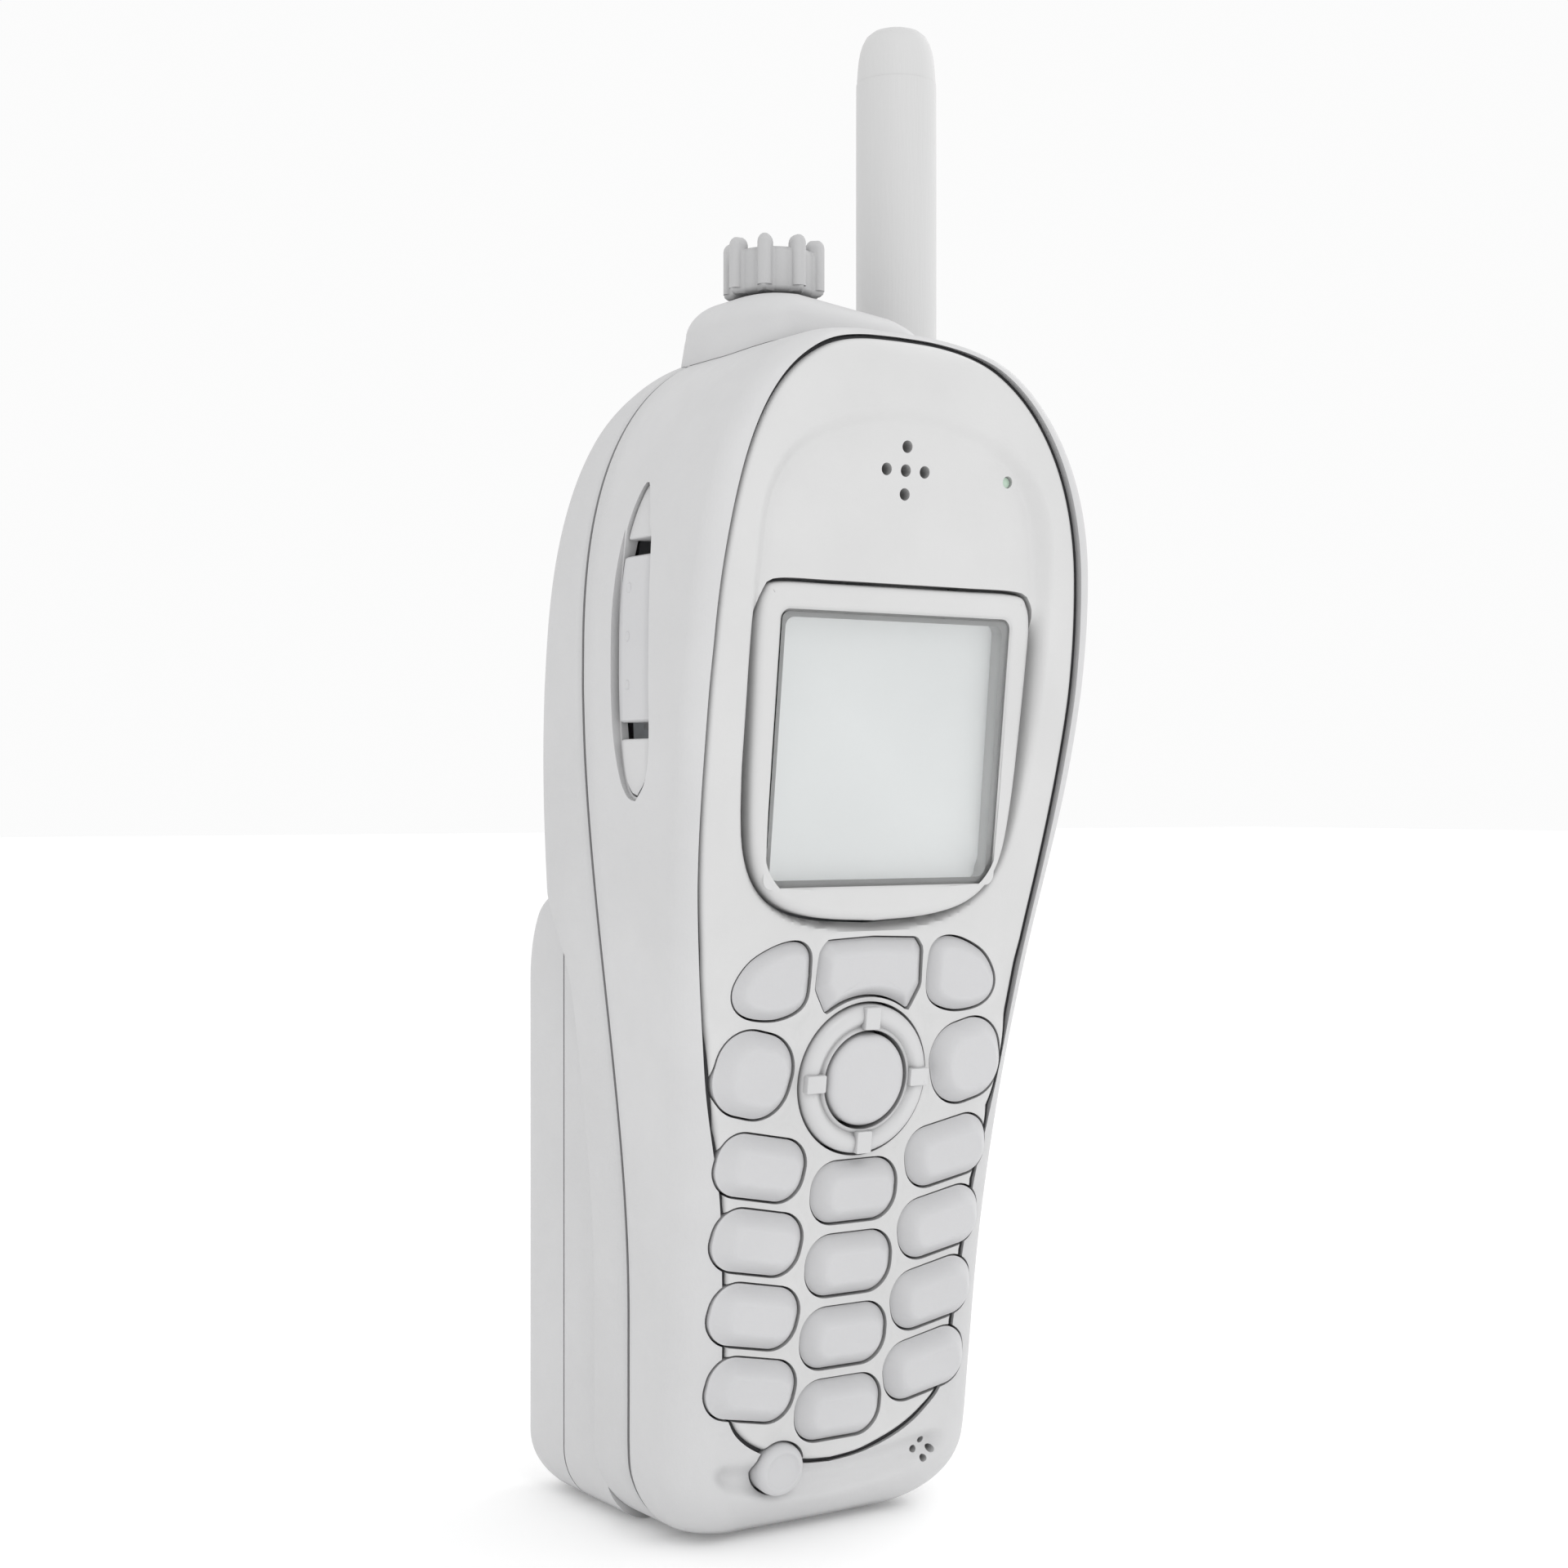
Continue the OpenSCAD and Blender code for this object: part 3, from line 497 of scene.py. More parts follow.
def front_solid(name, inset=0.0, detail=True, deeper=0.0):
    """Front housing as a full solid."""
    g = front_grid(inset, detail, deeper)
    back = g.copy()
    m = g.shape[1]
    back[:, :, 0] = g[:, :1, 0] * np.linspace(1, -1, m)[None, :]
    back[:, :, 2] = SEAM_GAP - 0.001
    return slab(name, front_view(g), front_view(back))


def plate_slab(name, grow, lift, back, rim=0.0, detail=True):
    """Slab over the faceplate outline, lift is added to the face, back is its thickness."""
    c = plate_curve(-grow)
    t = np.sin(np.linspace(-1, 1, 210) * math.pi / 2)
    x = c[:, :1] * t[None, :]
    z = np.repeat(c[:, 1:], len(t), axis=1)
    h = relief(x, z) if detail else face_depth(z)
    h = h - 7 * round_over((z - 150.5) / 5.2)
    if rim:
        d = distance(np.vstack([c[::2], c[-1:]]), np.abs(x), z)
        h = h - rim * round_over(1 - d / rim)
    g = np.stack([x, z, h + lift], axis=-1)
    b = g.copy()
    b[..., 2] = face_depth(z) - np.where(z > 80.45, back[1], back[0])
    b[..., 2] = np.minimum(b[..., 2], g[..., 2] - 0.4)
    return slab(name, front_view(g), front_view(b))


def key_cutters(tag, grow):
    """Cutters for the openings of all keys and of the navigation ring."""
    depth = 6
    out = []
    for name, (kx, kz, turn, outline) in KEYS.items():
        p = evened(shrink(outline, -grow), 72)
        place = on_face(kx, kz, turn)
        out.append(prism(tag + name, p, place, -depth, 8))
    place = on_face(0, NAV_Z)
    out.append(turned(tag + "ring", [(10.05, -depth), (10.05, 8)], place))
    return out


def hole(name, x, z, r):
    """Round cutter straight through the face along Y."""
    y = SEAM - float(face_depth(z))
    return cylinder(name, (x, y - 4, z), (0, 1, 0), r, 12, 32)


EAR_HOLES = [(0, 0), (2.95, 0), (-2.95, 0), (0, 2.95), (0, -2.95)]
MIC_HOLES = [(0, 1.15), (0, -1.15), (1.15, 0), (-1.15, 0)]


def display_depth(z):
    """Front of the display frame in front of the parting plane."""
    return 24.85 + (np.asarray(z) - DISPLAY_Z) * math.tan(FRAME_LEAN)


def frame_prism(name, grow):
    """Cutter for the opening of the display frame."""
    p = evened(shrink(closed(FRAME), -grow), 160)
    return loft(name, [front_view(np.column_stack([p, display_depth(p[:, 1]) + h]))
                       for h in (-12, 8)])


# leaf shaped recess of the talk key, in depth and z
LEAF = spline([[-12.3, 96.3], [-14.7, 98.6], [-16, 103], [-16.3, 112], [-16.2, 121],
               [-15.5, 128], [-14.3, 132.4], [-12.5, 135.5], [-10.5, 132.6], [-9, 127],
               [-8.1, 120], [-8, 111], [-8.3, 104], [-9.4, 99], [-10.8, 96.8],
               [-12.3, 96.3]], 121)[:-1]
LEAF = counter_clockwise(LEAF)


def leaf_prism(name, grow, x0, x1):
    return side_prism(name, shrink(LEAF, -grow), x0, x1)


PIECES = []         # (object, body, CAD nodes, material slot)


def piece(ob, name, body, nodes, slot):
    """Keeps a finished object with the body it rides on and the nodes it replaces."""
    ob.name = name
    PIECES.append((ob, body, nodes, slot))
    return ob


shell = front_solid("front_shell")
hollow = front_solid("front_hollow", 2.0, False, 3.4)
recess = plate_slab("recess", 0.55, 9, (1.95, 4.75), detail=False)
openings = key_cutters("a_", 0.3)
slots = [frame_prism("a_frame", 0.45)]
slots += [hole("a_ear", dx, EAR_Z + dz, 1.1) for dx, dz in EAR_HOLES]
slots += [hole("a_light", *LIGHT, 1.7)]
slots += [leaf_prism("a_leaf", 0.0, -40, -20), leaf_prism("a_leaf2", 0.45, -40, -29.6)]
place = on_face(*MIC)
slots += [turned("a_mic%d" % i, [(0.5, -7), (0.5, 3)],
                 lambda p, d=d: place(flat(p) + [d[0], d[1], 0]), 24)
          for i, d in enumerate(MIC_HOLES)]
slots += [power_hole("a_power"), antenna_bore("a_bore")]
cut(shell, [hollow, recess] + openings + slots)
piece(shell, "shell_front", "phone", ["front_housing"], "housing_plastic")

plate = plate_slab("plate", 0.0, 0, (1.8, 4.6), rim=0.7)
slots = [frame_prism("b_frame", 0.35)]
slots += [hole("b_ear", dx, EAR_Z + dz, 0.78) for dx, dz in EAR_HOLES]
slots += [hole("b_light", *LIGHT, 0.76), power_hole("b_power")]
cut(plate, key_cutters("b_", 0.3) + slots)
piece(plate, "face_plate", "phone", ["faceplate"], "faceplate_plastic")

seal = plate_slab("seal", 0.5, -0.55, (1.7, 1.7))
seal_hole = plate_slab("seal_hole", -0.9, 4, (6, 6), detail=False)
cut(seal, [seal_hole, power_hole("c_power", 3.85)] + key_cutters("c_", 0.35))
piece(seal, "face_seal", "phone", ["faceplate_gasket"], "gasket_rubber")


def band_loop(d, y):
    """Loop of the seal between the shells, d inside the outline."""
    return front_view(level(evened(closed(body_curve(d)), 400), -y))


loops = [band_loop(1.9, -0.34), band_loop(1.9, 0.34), band_loop(0.7, 0.34), band_loop(0.55, 0),
         band_loop(0.7, -0.34)]
gasket = loft("gasket", loops, ring=True)
cut(gasket, [antenna_bore("g_bore")])
piece(gasket, "shell_seal", "phone", ["shell_gasket"], "gasket_rubber")


# ---------- rear housing and battery pack ----------

def rear_depth(z):
    """Depth of the rear housing behind the parting plane."""
    z = np.asarray(z, float)
    return 18.0 - 5.4 * (z - 85) / 54 - 6.5 * round_over((z - 143) / 12.6)


def rear_solid(name, inset=0.0, deeper=0.0):
    """Rear housing as a full solid."""
    c = body_curve(inset)
    w, z = c[:, 0], c[:, 1]
    depth = np.maximum(rear_depth(z) - deeper, 1.0)
    r = np.minimum(np.maximum(7.5 - inset, 1), np.minimum(w * 0.6 + 0.01, depth * 0.7))
    cols = []
    start = SEAM_GAP
    side = np.linspace(0, 1, 10)[:-1]
    a = np.linspace(0, math.pi / 2, 16)[:-1]
    for t in side:
        cols.append([w, -(start + t * (depth - r - start))])
    for t in a:
        cols.append([w - r + r * math.cos(t), -(depth - r + r * math.sin(t))])
    for t in np.linspace(1, -1, 40):
        cols.append([(w - r) * t, -(depth + 0.5 * (1 - t * t))])
    for t in a[::-1]:
        cols.append([-(w - r + r * math.cos(t)), -(depth - r + r * math.sin(t))])
    for t in side[::-1]:
        cols.append([-w, -(start + t * (depth - r - start))])
    g = np.stack([np.column_stack([x, z, y]) for x, y in cols], axis=1)
    for k in (0, -1):
        g[:, k, 0] = np.sign(g[:, k, 0]) * np.maximum(np.abs(g[:, k, 0]) - 0.3, 0.01)
    g[:, 1, 2] = np.maximum(g[:, 1, 2], -0.75)
    g[:, -2, 2] = np.maximum(g[:, -2, 2], -0.75)
    back = g.copy()
    m = g.shape[1]
    back[:, :, 0] = g[:, :1, 0] * np.linspace(1, -1, m)[None, :]
    back[:, :, 2] = -0.359
    return slab(name, front_view(g), front_view(back))


# front edge of the battery bay, depth behind the parting plane and z
BAY = spline([[8.5, -4], [8.5, 60], [8.5, 69], [9.1, 74], [10.5, 78], [12.5, 82],
              [14.6, 84.7]], 60)
rear = rear_solid("rear_shell")
inner = rear_solid("rear_inner", 2.0, 2.0)
bay = side_prism("bay", np.vstack([BAY, [[40, 84.7], [40, -4]]]), -40, 40)
bay_in = side_prism("bay_in", np.vstack([BAY + [-2, 2], [[40, 86.7], [40, -4]]]), -41, 41)
cut(inner, [bay_in])
bits = [inner, bay, antenna_bore("r_bore")]
for i in range(-2, 3):
    p = rounded(1.7, 3.2, 0.3, 4)
    bits.append(loft("r_slot%d" % i, [np.column_stack([p[:, 0] + 3 * i, np.full(len(p), y),
                                                       p[:, 1] + 23]) for y in (2, 9)]))
for sx in (-15.5, 15.5):
    for sz in (12, 76):
        bits.append(cylinder("r_screw", (sx, SEAM + (6.8 if sz == 12 else 7.0), sz), (0, 1, 0),
                             2.4, 9, 32))
p = rounded(12.4, 9.4, 1.2, 8)
bits.append(loft("r_latch", [np.column_stack([p[:, 0], np.full(len(p), y), p[:, 1] + 88.7])
                             for y in (SEAM + 12, SEAM + 22)]))
cut(rear, bits)
piece(rear, "shell_rear", "phone", ["rear_housing"], "rear_plastic")


def pack_solid(name, d=0.0):
    """Battery pack as sections stacked in z."""
    z = np.concatenate([8 - 8 * np.cos(np.linspace(0, math.pi / 2, 16)),
                        np.linspace(9.5, 70, 40),
                        71 + 13 * np.sin(np.linspace(0, math.pi / 2, 26))])
    z = np.clip(z, d + 0.02, PACK_H - d)
    back = PACK_BACK - 6.5 * round_over((8 - z) / 8)
    back = back - 8.5 * round_over((z - 71) / 13) - d
    front = np.interp(z, BAY[:, 1], BAY[:, 0]) + 0.15 + d
    half = PACK_HALF_W - d - 7 * round_over((8 - z) / 8)
    half = half - 2.4 * round_over((z - 80) / 4)
    loops = []
    for zz, b, f, h in zip(z, back, front, half):
        r = min(5.0 - d, (b - f) * 0.45)
        pts = []
        for t in np.linspace(0, math.pi / 2, 14):
            pts.append([h - r + r * math.cos(t), b - r + r * math.sin(t)])
        for t in np.linspace(math.pi / 2, math.pi, 14):
            pts.append([-h + r + r * math.cos(t), b - r + r * math.sin(t)])
        for x in np.linspace(-1, 1, 12):
            pts.append([x * h, f])
        loops.append(np.array([[x, SEAM + y, zz] for x, y in pts]))
    return loft(name, loops)


def block(name, lo, hi, r=0.0):
    """Box between two corners with rounded vertical edges."""
    lo, hi = np.array(lo, float), np.array(hi, float)
    c = (lo + hi) / 2
    s = hi - lo
    if r:
        p = rounded(s[0], s[1], r, 6)
    else:
        p = np.array([[1, 1], [-1, 1], [-1, -1], [1, -1]]) * s[:2] / 2
    return loft(name, [level(p + c[:2], h) for h in (lo[2], hi[2])])


full = pack_solid("pack_case")
void = pack_solid("pack_void", 1.6)
floor_keep = block("floor_keep", (-40, SEAM - 5, -5), (40, SEAM + 10.6, 100))
cover = copy(full, "pack_cover")
void2 = copy(void, "pack_void2")
cut(void, [floor_keep])
cut(cover, [block("back_keep", (-40, SEAM - 5, -5), (40, SEAM + 20.1, 100)), void2])
notches = []
for i in range(-2, 3):
    notches.append(block("n%d" % i, (3 * i - 1, SEAM + 7, 21), (3 * i + 1, SEAM + 12, 25), 0.2))
cut(full, [block("far_keep", (-40, SEAM + 19.8, -5), (40, SEAM + 60, 100)), void] + notches)
piece(full, "pack_shell", "battery_pack", ["battery_case"], "pack_plastic")
piece(cover, "pack_back", "battery_pack", ["battery_cover"], "pack_plastic")


# ---------- display ----------

def frame_ring():
    """Raised frame round the window with a rounded rim and a stepped inner edge."""
    base = evened(closed(FRAME), 480)
    mid = np.array([0, DISPLAY_Z])
    hole_p = evened(rounded(35.6, 34.2, 1.3, 12), 900) + mid
    ang = np.arctan2(base[:, 1] - mid[1], base[:, 0] - mid[0])
    ha = np.arctan2(hole_p[:, 1] - mid[1], hole_p[:, 0] - mid[0])
    hr = np.hypot(hole_p[:, 0], hole_p[:, 1] - mid[1])
    o = np.argsort(ha)
    ha, hr = ha[o], hr[o]
    r = np.interp(ang, np.r_[ha[-1] - 2 * math.pi, ha, ha[0] + 2 * math.pi],
                  np.r_[hr[-1], hr, hr[0]])
    inner = np.column_stack([np.cos(ang) * r, np.sin(ang) * r + mid[1]])
    lip = mid + (inner - mid) * 0.945

    def at(p, h):
        return front_view(np.column_stack([p, display_depth(p[:, 1]) + h]))

    rows = [at(lip, -3.2), at(base, -3.2)]
    for d, h in ((0, -1.2), (0.1, -0.7), (0.35, -0.3), (0.8, -0.05), (1.3, 0.0)):
        rows.append(at(shrink(base, d), h))
    for k in (0.3, 0.6, 0.85):
        q = shrink(base, 1.3) * (1 - k) + inner * k
        rows.append(at(q, -0.12 * k))
    rows += [at(mid + (inner - mid) * 1.012, -0.18), at(inner, -0.35), at(inner, -0.85),
             at(lip, -0.85)]
    return loft("frame_ring", rows, 45, ring=True)


piece(frame_ring(), "window_frame", "phone", ["display_bezel"], "faceplate_plastic")


def display_block(name, w, h, r, h0, h1, bevel=0.0):
    """Rounded plate behind the display frame, from height h0 to h1."""
    rows = []
    steps = [(0, h0), (0, h1)]
    if bevel:
        steps = [(0, h0), (0, h1 - bevel), (bevel * 0.3, h1 - bevel * 0.3), (bevel, h1)]
    for d, hh in steps:
        p = rounded(w - 2 * d, h - 2 * d, max(r - d, 0.2), 10)
        rows.append(front_view(np.column_stack([p[:, 0],
                                                p[:, 1] * math.cos(FRAME_LEAN) + DISPLAY_Z,
                                                display_depth(p[:, 1] + DISPLAY_Z) + hh])))
    return loft(name, rows)


piece(display_block("glass", 35.3, 33.9, 1.1, -0.84, -0.3, 0.12), "window", "phone",
      ["display_lens"], "lens_glass")
piece(display_block("panel", 36.6, 36.0, 0.6, -7, -3.9), "panel", "phone",
      ["lcd_module"], "display_panel")


# ---------- keys ----------

def pillow(name, outline, place, top, skirt, dish, concave=False):
    """Key cap: flange under the wall, straight shaft, sloped skirt and soft top."""
    p = evened(outline, 112)
    rows = [(-0.45, -4.5), (-0.45, -3.95), (0, -3.95), (0, 0.1)]
    m = 12
    for i in range(m + 1):
        t = i / m
        s = t * t * (3 - 2 * t)
        rows.append((skirt * t + 0.02, 0.1 + (top - 0.1) * (0.45 * math.sin(t * math.pi / 2)
                                                            + 0.55 * s)))
    loops = []
    for d, h in rows:
        if concave:
            # a concave outline is drawn in towards its middle, so no corner folds over
            mid = p.mean(0)
            q = mid + (p - mid) * (1 - d / np.array([8.1, 3.4]))
        else:
            q = shrink(p, d)
        loops.append(level(q, h))
    last = loops[-1]
    c = last[:, :2].mean(0)
    for k in (0.93, 0.84, 0.72, 0.56, 0.4, 0.24, 0.1, 0.02):
        q = c + (last[:, :2] - c) * k
        loops.append(level(q, top - dish * (1 - k ** 2)))
    return loft(name, place(np.array(loops)), 50)


for name, (kx, kz, turn, outline) in KEYS.items():
    soft = name.startswith("soft")
    big = name in ("call_key", "end_key")
    place = on_face(kx, kz, turn)
    height = 1.5 if soft else 2.3 if big else 2.2
    ob = pillow(name + "_cap", outline, place, height, 1.7 if soft else 2.3,
                0.25 if big or soft else 0.15, concave=name == "soft_key_center")
    piece(ob, name + "_cap", name, [name], "key_rubber")

nav = on_face(0, NAV_Z)
rows = [(6.45, -2.0), (9.7, -2.0), (9.7, 0.5), (9.55, 0.95), (9.2, 1.3), (8.7, 1.5), (8.1, 1.55),
        (7.6, 1.4), (7.25, 1.0), (7.0, 0.9), (6.8, 1.2), (6.6, 1.35), (6.45, 1.2)]
ring = turned("ring", rows, nav, 160, 40, ring=True)
tabs = []
for i in range(4):
    a = i * math.pi / 2
    p = rounded(2.9, 2.3, 0.25, 5)
    c, s = math.cos(a), math.sin(a)
    loops = []
    for d, h in ((0, -1.5), (0, 1.85), (0.06, 1.97), (0.18, 2.02)):
        q = shrink(p, d) + [8.05, 0]
        q = np.column_stack([q[:, 0] * c - q[:, 1] * s, q[:, 0] * s + q[:, 1] * c])
        loops.append(level(q, h))
    tabs.append(loft("tab%d" % i, nav(np.array(loops))))
cut(ring, tabs, "UNION")
piece(ring, "rocker_ring", "nav_ring", ["nav_ring"], "ring_plastic")
rows = [(6.3, -4.2), (6.3, -3.7), (6.0, -3.7), (6.0, 0.9), (5.85, 1.25), (5.5, 1.55), (5.0, 1.72),
        (4.2, 1.74), (3.0, 1.66), (1.5, 1.6), (0.05, 1.58)]
piece(turned("ok", rows, nav, 96, 50), "ok_cap", "ok_button", ["ok_button"], "key_rubber")
rows = [(3.9, -4.2), (3.9, -3.75), (3.5, -3.75), (3.5, -0.2), (3.42, 0.3), (3.2, 0.7),
        (2.85, 1.0), (2.5, 1.1), (2.35, 1.02), (2.2, 0.9), (1.9, 0.84), (1.0, 0.8), (0.05, 0.8)]
piece(turned("power", rows, on_face(*POWER), 80, 50), "power_cap", "power_button",
      ["power_button"], "key_rubber")


# ---------- top: turret, knob, antenna ----------

def turret():
    """Raised top that carries the knob, lower towards the antenna."""
    loops = []
    rows = [(147.0, 0.0), (149.5, 0.25), (152, 0.5), (154.5, 0.75), (156.5, 0.95)]
    for a in np.linspace(0, math.pi / 2, 12):
        rows.append((157.6 + 3.7 * math.sin(a), 1.1 + 3.6 * (1 - math.cos(a))))
    x0, x1, y0, y1 = -15.8, 18.0, SEAM - 16.4, SEAM + 7.4
    for z, d in rows:
        p = rounded(x1 - x0 - 2 * d - 0.6 * (z - 147) * 0.1, y1 - y0 - 2 * d, 7.5 - 0.5 * d, 14)
        x = p[:, 0] + (x0 + x1) / 2
        k = smooth((z - 150) / 9)
        drop_z = k * (3.2 * smooth((x + 2) / 20) + 1.0 * smooth((-9 - x) / 8))
        loops.append(np.column_stack([x, p[:, 1] + (y0 + y1) / 2, z - drop_z]))
    last = loops[-1]
    c = np.array([(x0 + x1) / 2 - 2, (y0 + y1) / 2, 0])
    for k in (0.92, 0.8, 0.62, 0.42, 0.2, 0.03):
        q = last.copy()
        q[:, :2] = c[:2] + (last[:, :2] - c[:2]) * k
        q[:, 2] = 161.35 - (3.2 * smooth((q[:, 0] + 2) / 20) + 1.0 * smooth((-9 - q[:, 0]) / 8))
        q[:, 2] = np.minimum(q[:, 2], last[:, 2] + 0.35)
        loops.append(q)
    return loft("turret", loops, 50)


tur = turret()
under_front = front_solid("under_front", -0.06, False)
under_rear = rear_solid("under_rear", -0.06)
mid = prism("under_mid", evened(closed(body_curve()), 300), front_view, -0.5, 0.5)
kx, ky = KNOB
cut(tur, [under_front, under_rear, mid, antenna_bore("t_bore"),
          block("t_cell", (kx - 6, ky - 6, 150), (kx + 6, ky + 6, 159.4)),
          cylinder("t_hole", (kx, ky, 150), (0, 0, 1), 3.7, 20)])
piece(tur, "turret", "phone", ["control_turret"], "housing_plastic")


def knob():
    """Fluted cap with eight ribs that stand above its rim."""
    n = 320
    a = np.linspace(0, 2 * math.pi, n, endpoint=False)
    rib = smooth(1 - np.abs(((a * 8 / (2 * math.pi) + 0.5) % 1) - 0.5) / 0.3)
    loops = []
    top = [(0.5, 161.9), (0.1, 162.2), (0.0, 162.6), (0.0, 166.9), (0.15, 167.4), (0.5, 167.7)]
    for d, z in [(4.4, 161.9)] + top:
        r = 5.55 + 1.15 * rib - d
        if d > 4:
            r = np.full(n, 3.0)
        loops.append(np.column_stack([r * np.cos(a), r * np.sin(a), np.full(n, z)]))
    for r, z in ((4.3, 167.75), (3.7, 167.6), (3.5, 166.9), (3.3, 166.8), (3.0, 166.8),
                 (3.0, 166.1)):
        loops.append(np.column_stack([r * np.cos(a), r * np.sin(a), np.full(n, z)]))
    body = loft("knob_body", np.array(loops) + [*KNOB, 0], 40, ring=True)
    ribs = []
    for i in range(8):
        t = i * math.pi / 4
        p = rounded(2.5, 1.9, 0.9, 8)
        rows = []
        for d, z in ((0.0, 162.6), (0.0, 168.2), (0.08, 168.6), (0.28, 168.95), (0.6, 169.2),
                     (0.85, 169.25)):
            q = shrink(p, d) + [5.5, 0]
            rows.append(np.column_stack([q[:, 0] * math.cos(t) - q[:, 1] * math.sin(t),
                                         q[:, 0] * math.sin(t) + q[:, 1] * math.cos(t),
                                         np.full(len(q), z)]))
        ribs.append(loft("rib%d" % i, np.array(rows) + [*KNOB, 0]))
    cut(body, ribs, "UNION", 40)
    return body


piece(knob(), "knob_cap", "knob", ["volume_knob"], "knob_plastic")

rows = [(4.9, 130), (5.58, 130.6), (5.6, 131.5), (5.6, 190), (5.52, 195.5), (5.2, 199.5),
        (4.6, 201.6), (3.8, 202.7), (2.6, 203.3), (1.2, 203.48), (0.05, 203.5)]
rod = spline([[r, z] for r, z in rows[2:]], 70)
rows = rows[:2] + [tuple(v) for v in rod]


def at_antenna(p):
    return flat(p) + [*ANTENNA, 0]


piece(turned("rod", rows, at_antenna, 96, 60), "antenna_rod", "antenna", ["antenna"],
      "antenna_rubber")
rows = [(5.66, 99), (5.66, 150), (6.2, 150.6), (7.0, 150.3), (7.12, 149.6), (7.12, 97),
        (0.05, 97), (0.05, 99)]
piece(turned("guide", rows, at_antenna, 96), "antenna_sleeve", "phone", ["antenna_guide"],
      "housing_plastic")


# ---------- talk key ----------

def leaf_slice(name, z0, z1, deeper, grow):
    """Piece of the talk key recess whose outer face follows the housing's side."""
    x_in = -25.2
    bevel = 0.35
    y = np.linspace(-17, -7, 40)
    z = np.linspace(z0, z1, 90)
    yy, zz = np.meshgrid(y, z, indexing="ij")
    w = np.interp(zz, BODY[:, 1], BODY[:, 0]) - deeper
    edge = np.minimum(zz - z0, z1 - zz)
    w = w - bevel * round_over(1 - edge / bevel)
    w = w - 0.35 * smooth((np.abs(yy + 12.1) - 2.2) / 2)
    top = side_view(np.stack([yy, zz, -w], axis=-1))
    bottom = side_view(np.stack([yy, zz, np.full(w.shape, x_in)], axis=-1))
    ob = slab(name, top, bottom)
    cut(ob, [leaf_prism("leaf_in", -grow, -40, -20)], "INTERSECT")
    return ob


ptt = leaf_slice("ptt", 105.7, 126.3, 0.45, 0.35)
lip = block("ptt_lip", (-25.8, SEAM - 17, 105), (-25.21, SEAM - 7.4, 127), 0)
dots = []
for z in (110.3, 116.3, 122.3):     # three grip dots on the key
    w = float(np.interp(z, BODY[:, 1], BODY[:, 0]))
    a = np.linspace(0, 2 * math.pi, 24, endpoint=False)
    rows = []
    for r, h in ((1.0, -1.5), (1.0, -0.25), (0.95, 0.0), (0.75, 0.2), (0.4, 0.3), (0.03, 0.32)):
        oval = np.column_stack([-10.9 + 0.62 * r * np.cos(a), z + 0.8 * r * np.sin(a)])
        rows.append(side_view(level(oval, -(w - 0.6 + h))))
    dots.append(loft("dot", rows))
cut(ptt, [lip] + dots, "UNION")
piece(ptt, "talk_key", "ptt_button", ["ptt_button"], "key_rubber")
piece(leaf_slice("trim_a", 128.4, 136.5, 0.5, 0.3), "talk_trim_top", "phone",
      ["ptt_trim_upper"], "housing_plastic")
piece(leaf_slice("trim_b", 95.5, 103.6, 0.5, 0.3), "talk_trim_low", "phone",
      ["ptt_trim_lower"], "housing_plastic")


# ---------- pieces at the back ----------

p = rounded(11.6, 6.0, 1.0, 8)
rows = []
for d, y in ((0, 15), (0, 17.0), (0.1, 17.35), (0.35, 17.6)):
    q = shrink(p, d)
    rows.append(np.column_stack([q[:, 0], np.full(len(q), SEAM + y), q[:, 1] + 87.4]))
latch = loft("latch", rows)
grips = []
for i in range(4):
    z = 85.7 + i * 1.1
    grips.append(loft("grip%d" % i, [np.column_stack([q2[:, 0], np.full(len(q2), SEAM + y),
                                                      q2[:, 1] + z])
                                     for q2, y in ((rounded(8.4, 0.5, 0.24, 4), 17.25),
                                                   (rounded(8.4, 0.7, 0.3, 4), 17.9))]))
cut(latch, grips)
cut(latch, [block("tooth", (-4, SEAM + 12.4, 85), (4, SEAM + 15.2, 87.6))], "UNION")
piece(latch, "latch_tab", "battery_latch", ["battery_latch"], "pack_plastic")


# ---------- materials ----------

